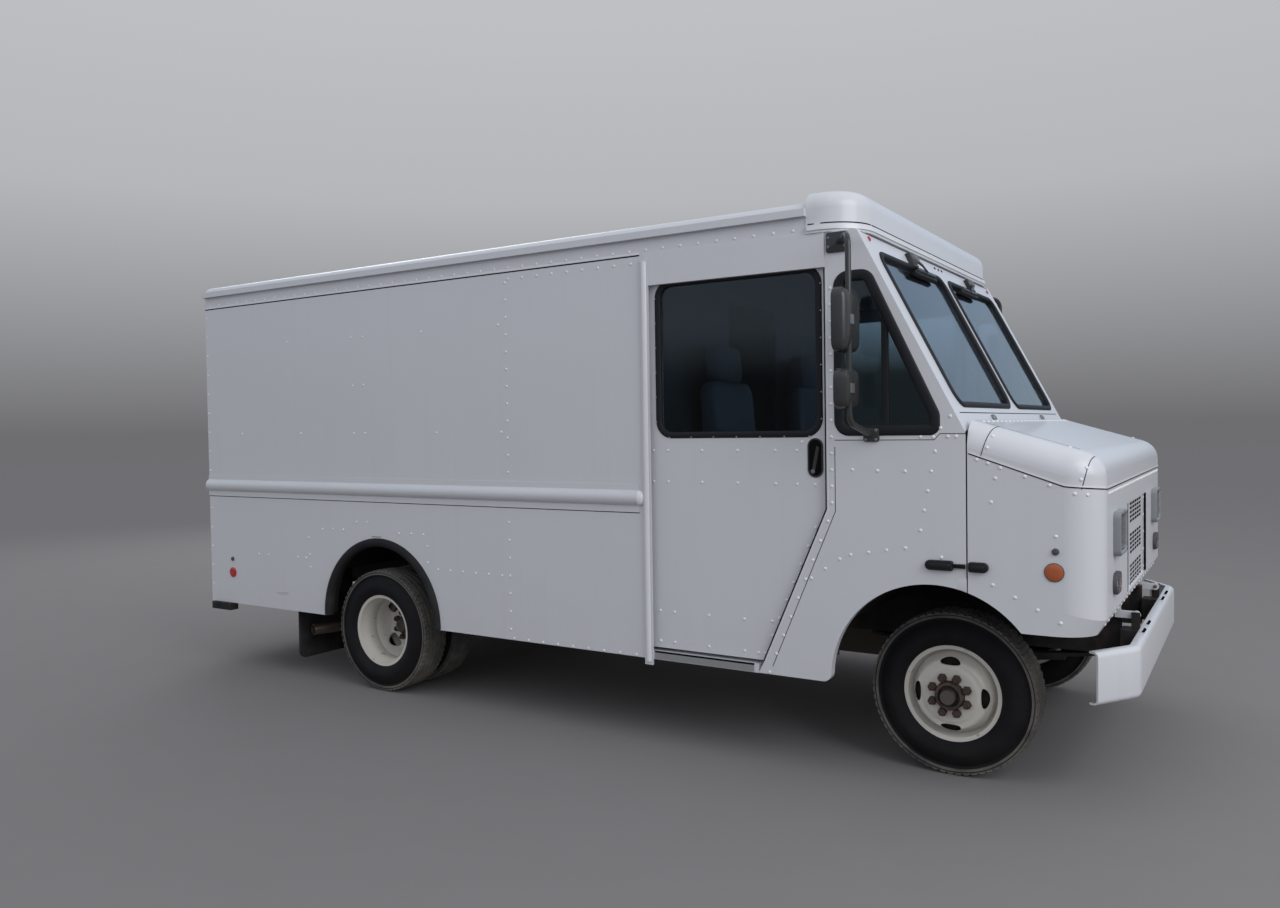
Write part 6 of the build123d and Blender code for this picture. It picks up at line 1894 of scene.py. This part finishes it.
class Cab:
    """Mirrors, wipers and what shows of the cab's inside."""

    def build(self) -> None:
        """Finishes of the inner nodes, then mirrors, wipers, seats and steering wheel."""
        dress(["dashboard", "engine_cover"], DARK_PLASTIC)
        dress(["floor", "step_wells", "bulkhead"], DECK_METAL)
        self.mirrors()
        self.wipers()
        self.cowl()
        self.seats()
        self.steering()

    def mirrors(self) -> None:
        """Looped arms with two heads each: black housings in front, silvered glass behind."""
        arm = tube(bent([
            (at(-0.400), -HALF_WIDTH - 0.009, 2.400), (at(-0.290), -1.400, 2.400),
            (at(-0.290), -1.400, 1.600), (at(-0.262), -HALF_WIDTH - 0.009, 1.545),
        ], 0.060, 9), 0.013, 14)
        parts: list[Part] = [(arm, MIRROR_BLACK)]
        for width, height, middle_z in ((0.200, 0.270, 2.035), (0.160, 0.170, 1.745)):
            front = across_front(at(-0.342))
            outline = box_outline(width, height, 0.042, 8) + (-1.372, middle_z)
            levels = [(0.97, 0.0), (1.0, 0.004), (1.0, 0.030), (0.975, 0.045), (0.90, 0.057), (0.70, 0.064),
                      (0.35, 0.0665), (0.06, 0.067)]
            parts.append((dome(outline, levels, front), MIRROR_BLACK))
            glass = box_outline(width - 0.018, height - 0.018, 0.034, 8) + (1.372, middle_z)
            parts.append((plate(glass, 0.002, 0.001, across_rear(at(-0.342))), MIRROR_GLASS))
            clamp = slab((at(-0.308), -1.418, middle_z - 0.020), (at(-0.272), -1.382, middle_z + 0.020))
            parts.append((clamp, BARE_ALUMINIUM))
        side = across_side(HALF_WIDTH)
        for station, z, width, height in ((-0.410, 2.400, 0.100, 0.090), (-0.260, 1.545, 0.070, 0.060)):
            foot = box_outline(width, height, 0.010, 5) + (at(station), z)
            parts.append((plate(foot, 0.012, 0.004, side), MIRROR_BLACK))
            bolts = np.array([(at(station) + dx, -HALF_WIDTH - 0.012, z + dz)
                              for dx in (-width / 2 + 0.012, width / 2 - 0.012) for dz in (-0.020, 0.020)])
            parts.append((bolt_heads(bolts, (0, -1, 0), 0.007, 0.005), HUB_CAP))
        piece("mirror_arms_and_heads", paired(parts), "body", ("mirrors",))

    def wipers(self) -> None:
        """Wipers parked along the top of the panes: wedge bracket, oval head, arm and blade."""
        parts: list[Part] = []
        wedge = rounded([(-0.590, 2.345), (-0.530, 2.345), (-0.536, 2.425), (-0.575, 2.425)], 0.008, 4)
        parts.append((plate(wedge, 0.026, 0.006, on_screen), MIRROR_BLACK))
        head = np.array([(-0.545, 2.385)]) + circle(0.5, 20) * (0.062, 0.040)
        levels = [(1.0, 0.024), (1.0, 0.034), (0.92, 0.040), (0.5, 0.043), (0.1, 0.044)]
        parts.append((dome(head, levels, on_screen), HUB_CAP))
        blade = rounded([(-0.608, 2.312), (-0.252, 2.312), (-0.252, 2.330), (-0.608, 2.330)], 0.004, 4)
        parts.append((plate(blade, 0.018, 0.004, on_screen), BLACK_RUBBER))
        spine = rounded([(-0.575, 2.326), (-0.285, 2.326), (-0.285, 2.338), (-0.575, 2.338)], 0.004, 4)
        parts.append((plate(spine, 0.028, 0.004, on_screen), MIRROR_BLACK))
        for offset in (0.0, 0.016):
            pairs = np.array([(-0.560, 2.372 + offset), (-0.500, 2.352 + offset / 2), (-0.430, 2.333)])
            rod_path = bent([tuple(point) for point in on_screen(pairs, np.array([0.030, 0.036, 0.030]))], 0.05, 5)
            parts.append((tube(rod_path, 0.0045, 8), MIRROR_BLACK))
        piece("wiper_arms_and_blades", paired(parts), "body", ("wipers",))

    def cowl(self) -> None:
        """Nozzles and rivets under the windshield, its seams and dots, and the cab side's rivets."""
        normal = SCREEN_NORMAL
        places = on_screen(np.array([(-0.585, 1.610), (0.585, 1.610)]), np.zeros(2))
        bump = np.array([(0.020, -0.002), (0.019, 0.007), (0.014, 0.013), (0.006, 0.016)])
        rivets = on_screen(row((-1.10, 1.594), (1.10, 1.594), 0.074), np.zeros(1))
        line_pairs = along([(-1.13, 1.636), (1.13, 1.636)], 0.4)
        line = ribbon(on_screen(line_pairs, np.zeros(len(line_pairs))), normal, 0.004, 0.0006)
        seam_pairs = along([(-1.16, 2.444), (1.16, 2.444)], 0.4)
        seam = ribbon(on_screen(seam_pairs, np.zeros(len(seam_pairs))), normal, 0.004, 0.0006)
        side = np.array([
            (0.079, 1.621), (0.039, 1.572), (-0.046, 1.535), (0.008, 1.534), (0.068, 1.536), (0.103, 1.536),
            (0.015, 1.474), (-0.236, 1.389), (-0.114, 1.388), (-0.001, 1.389), (-0.017, 1.305), (-0.033, 1.222),
            (-0.049, 1.136), (-0.115, 1.057), (-0.198, 1.043), (-0.279, 1.030), (0.039, 1.025),
        ])
        rivet_sides("cab_side_rivets", side)
        mark = on_screen(np.array([(-1.094, 2.417)]), np.zeros(1))
        dots = on_screen(np.array([(-0.060, 2.420), (0.010, 2.420), (0.070, 2.420)]), np.zeros(1))
        small = np.array([(0.008, -0.001), (0.007, 0.003), (0.004, 0.004)])
        triangle = studs(mark, normal, small * (2.0, 2.0), 3)
        # The dots, the line and the seam wear the near-black of painted shade.
        parts = [(both(triangle), REFLECTOR_RED), (studs(dots, normal, small, 12), SHADE_BLACK),
                 (studs(places, normal, bump, 20), HUB_CAP), (rivet_heads(rivets, normal, 0.005, 0.0022), WHITE_PAINT),
                 (line, SHADE_BLACK), (seam, SHADE_BLACK)]
        piece("cowl_fittings", parts, "body")

    def seats(self) -> None:
        """High-backed seats: cushion, back and headrest on a plain pedestal."""
        for side in Side:
            sign = side.value
            x, y = at(-1.070), sign * 0.560
            cushion = pad(across_plane((x, y, 1.010), (1, 0, 0), (0, 1, 0)), 0.460, 0.480, 0.118, 0.06)
            lean = np.array([-0.0883, 0.0, 0.9961])
            back_base = (x - 0.200, y, 1.130)
            back = pad(across_plane(back_base, (0, 1, 0), tuple(lean)), 0.460, 0.700, 0.110, 0.07).moved(
                tuple(lean * 0.350 - np.array([0.030, 0, 0]))
            )
            head = pad(across_plane(back_base, (0, 1, 0), tuple(lean)), 0.270, 0.210, 0.095, 0.06).moved(
                tuple(lean * 0.795 - np.array([0.025, 0, 0]))
            )
            stand = slab((at(-1.230), y - 0.130, 0.760), (at(-0.970), y + 0.130, 1.012))
            bolster = []
            for edge_y in (y - 0.215, y + 0.215):
                roll = np.array([(x - 0.20, edge_y, 1.120), (x + 0.20, edge_y, 1.118)])
                bolster.append((tube(roll, 0.022, 12), SEAT_CLOTH))
            parts = [(cushion, SEAT_CLOTH), (back, SEAT_CLOTH), (head, SEAT_CLOTH), (stand, DARK_PLASTIC)]
            made = piece(f"{side.word}_seat", parts + bolster, "body", ("seats",))

    def steering(self) -> None:
        """The steering wheel: rim, three spokes, a padded hub and the column."""
        origin = np.array([at(-0.350), 0.560, 1.520])
        normal = np.array([-0.6, 0.0, 0.8])
        right = np.array([0.0, 1.0, 0.0])
        up = np.cross(normal, right)
        ring = circle(0.2125, 48)
        path = origin + ring[:, :1] * right + ring[:, 1:] * up
        rim = band(circle(0.013, 12), path, tuple(normal))
        place = across_plane(tuple(origin), tuple(right), tuple(up))
        levels = [(0.95, -0.012), (1.0, -0.006), (1.0, 0.004), (0.9, 0.010), (0.4, 0.014), (0.1, 0.0145)]
        hub = dome(circle(0.050, 28), levels, place)
        parts: list[Part] = [(rim, DARK_PLASTIC), (hub, DARK_PLASTIC)]
        for angle in (90, 210, 330):
            c, s = math.cos(math.radians(angle)), math.sin(math.radians(angle))
            across = np.array([(0.03, -0.014), (0.205, -0.010), (0.205, 0.010), (0.03, 0.014)])
            outline = np.stack([across[:, 0] * c - across[:, 1] * s, across[:, 0] * s + across[:, 1] * c], -1)
            parts.append((plate(outline, 0.004, 0.002, place), DARK_PLASTIC))
        column = np.stack([origin - normal * 0.012, origin - normal * 0.360])
        parts.append((tube(column, 0.026, 20), DARK_PLASTIC))
        piece("steering_wheel_rim", parts, "body", ("steering_wheel",))


# Stage


@dataclass
class Studio:
    """Floor, soft light and the camera at the photograph's angle.

    Attributes:
        eye: The camera's place.
        yaw: Its turn from straight across the van, in radians.
        pitch: Its tilt above level, in radians.
        roll: Its roll, in radians.
        focal: The focal length in pixels of the photograph.
        photo_width: The photograph's width in pixels.
        sensor: The camera's sensor width in millimetres.
        floor_radius: The floor's radius.
        floor_colour: The floor's colour.
    """

    eye: Point = (3.386, -5.383, 1.593)
    yaw: float = 0.567
    pitch: float = -0.027
    roll: float = -0.015
    focal: float = 984.8
    photo_width: int = 1280
    sensor: float = 36.0
    floor_radius: float = 60.0
    floor_colour: Colour = (0.225, 0.22, 0.225)

    def build(self) -> None:
        """Sets up floor, world, lamps and camera."""
        self.floor()
        self.world()
        self.lamps()
        self.camera()
        bpy.context.scene.view_settings.view_transform = "Standard"

    def floor(self) -> None:
        """A wide round floor at the ground's height."""
        mesh = bpy.data.meshes.new("studio_floor")
        rim = circle(self.floor_radius, 64)
        mesh.from_pydata(np.column_stack([rim, np.zeros(len(rim))]).tolist(), [], [list(range(len(rim)))])
        made = bpy.data.objects.new("studio_floor", mesh)
        bpy.context.scene.collection.objects.link(made)
        finish = Finish("studio_floor", "", self.floor_colour, 0.9, mottle=0.05, grain=0.0004, shine=0.0)
        mesh.materials.append(finish.material())

    def world(self) -> None:
        """A pale backdrop for the camera, an overcast sky over dark trees for gloss and glass, and soft light."""
        world = bpy.data.worlds.new("studio")
        bpy.context.scene.world = world
        world.use_nodes = True
        tree = world.node_tree
        where = node(tree, "ShaderNodeTexCoord").outputs["Generated"]
        height = node(tree, "ShaderNodeSeparateXYZ", None, {0: where}).outputs[2]
        rays = node(tree, "ShaderNodeLightPath").outputs
        backdrop = self.ramp(tree, height, (
            (0.0, (0.156, 0.155, 0.162)), (0.22, (0.46, 0.47, 0.49)), (0.8, (0.66, 0.68, 0.71)),
        ))
        around = self.ramp(tree, height, (
            (0.05, (0.045, 0.050, 0.050)), (0.10, (0.40, 0.48, 0.56)), (0.30, (0.34, 0.46, 0.62)),
            (0.9, (0.50, 0.58, 0.68)),
        ))
        shiny = maths(tree, "MAXIMUM", rays["Is Glossy Ray"], rays["Is Transmission Ray"])
        light = blend_colour(tree, shiny, (0.70, 0.715, 0.745, 1), around)
        colour = blend_colour(tree, rays["Is Camera Ray"], light, backdrop)
        shown = node(tree, "ShaderNodeBackground", None, {"Color": colour})
        tree.links.new(shown.outputs[0], tree.nodes["World Output"].inputs["Surface"])

    @staticmethod
    def ramp(tree: bpy.types.NodeTree, height: bpy.types.NodeSocket, stops) -> bpy.types.NodeSocket:
        """A colour that changes with height through a row of stops."""
        made = node(tree, "ShaderNodeValToRGB", None, {0: height})
        elements = made.color_ramp.elements
        while len(elements) < len(stops):
            elements.new(1.0)
        for element, (place, colour) in zip(elements, stops):
            element.position = place
            element.color = (*colour, 1)
        return made.outputs[0]

    def lamps(self) -> None:
        """One broad lamp high in front and a weaker one behind."""
        for name, place, power, size in (
            ("key_lamp", (8.6, -3.4, 5.8), 330.0, 6.0),
            ("rear_lamp", (-8.0, 5.0, 7.0), 240.0, 6.0),
        ):
            lamp = bpy.data.lights.new(name, "AREA")
            lamp.energy = power
            lamp.size = size
            holder = bpy.data.objects.new(name, lamp)
            holder.location = place
            holder.rotation_euler = (Vector((0, 0, 1.2)) - Vector(place)).to_track_quat("-Z", "Y").to_euler()
            bpy.context.scene.collection.objects.link(holder)

    def camera(self) -> None:
        """The camera: right, up and back directions from yaw, pitch and roll as the columns of its matrix."""
        ahead = Vector((-math.sin(self.yaw) * math.cos(self.pitch), math.cos(self.yaw) * math.cos(self.pitch),
                        math.sin(self.pitch)))
        level = Vector((math.cos(self.yaw), math.sin(self.yaw), 0))
        over = level.cross(ahead)
        right = math.cos(self.roll) * level + math.sin(self.roll) * over
        up = math.cos(self.roll) * over - math.sin(self.roll) * level
        matrix = Matrix((right, up, -ahead)).transposed().to_4x4()
        matrix.translation = Vector(self.eye)
        lens = bpy.data.cameras.new("camera")
        lens.sensor_width = self.sensor
        lens.lens = self.focal / self.photo_width * self.sensor
        lens.clip_end = 300.0
        holder = bpy.data.objects.new("camera", lens)
        holder.matrix_world = matrix
        bpy.context.scene.collection.objects.link(holder)
        bpy.context.scene.camera = holder


def main() -> None:
    """Builds the sub-assemblies in order."""
    logging.basicConfig(level=logging.INFO, format="%(message)s")
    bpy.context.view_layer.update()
    Studio().build()
    Underside().build()
    Coachwork().build()
    Glazing().build()
    Nose().build()
    Trim().build()
    Cab().build()
    Wheels().build()


if __name__ == "__main__":
    main()
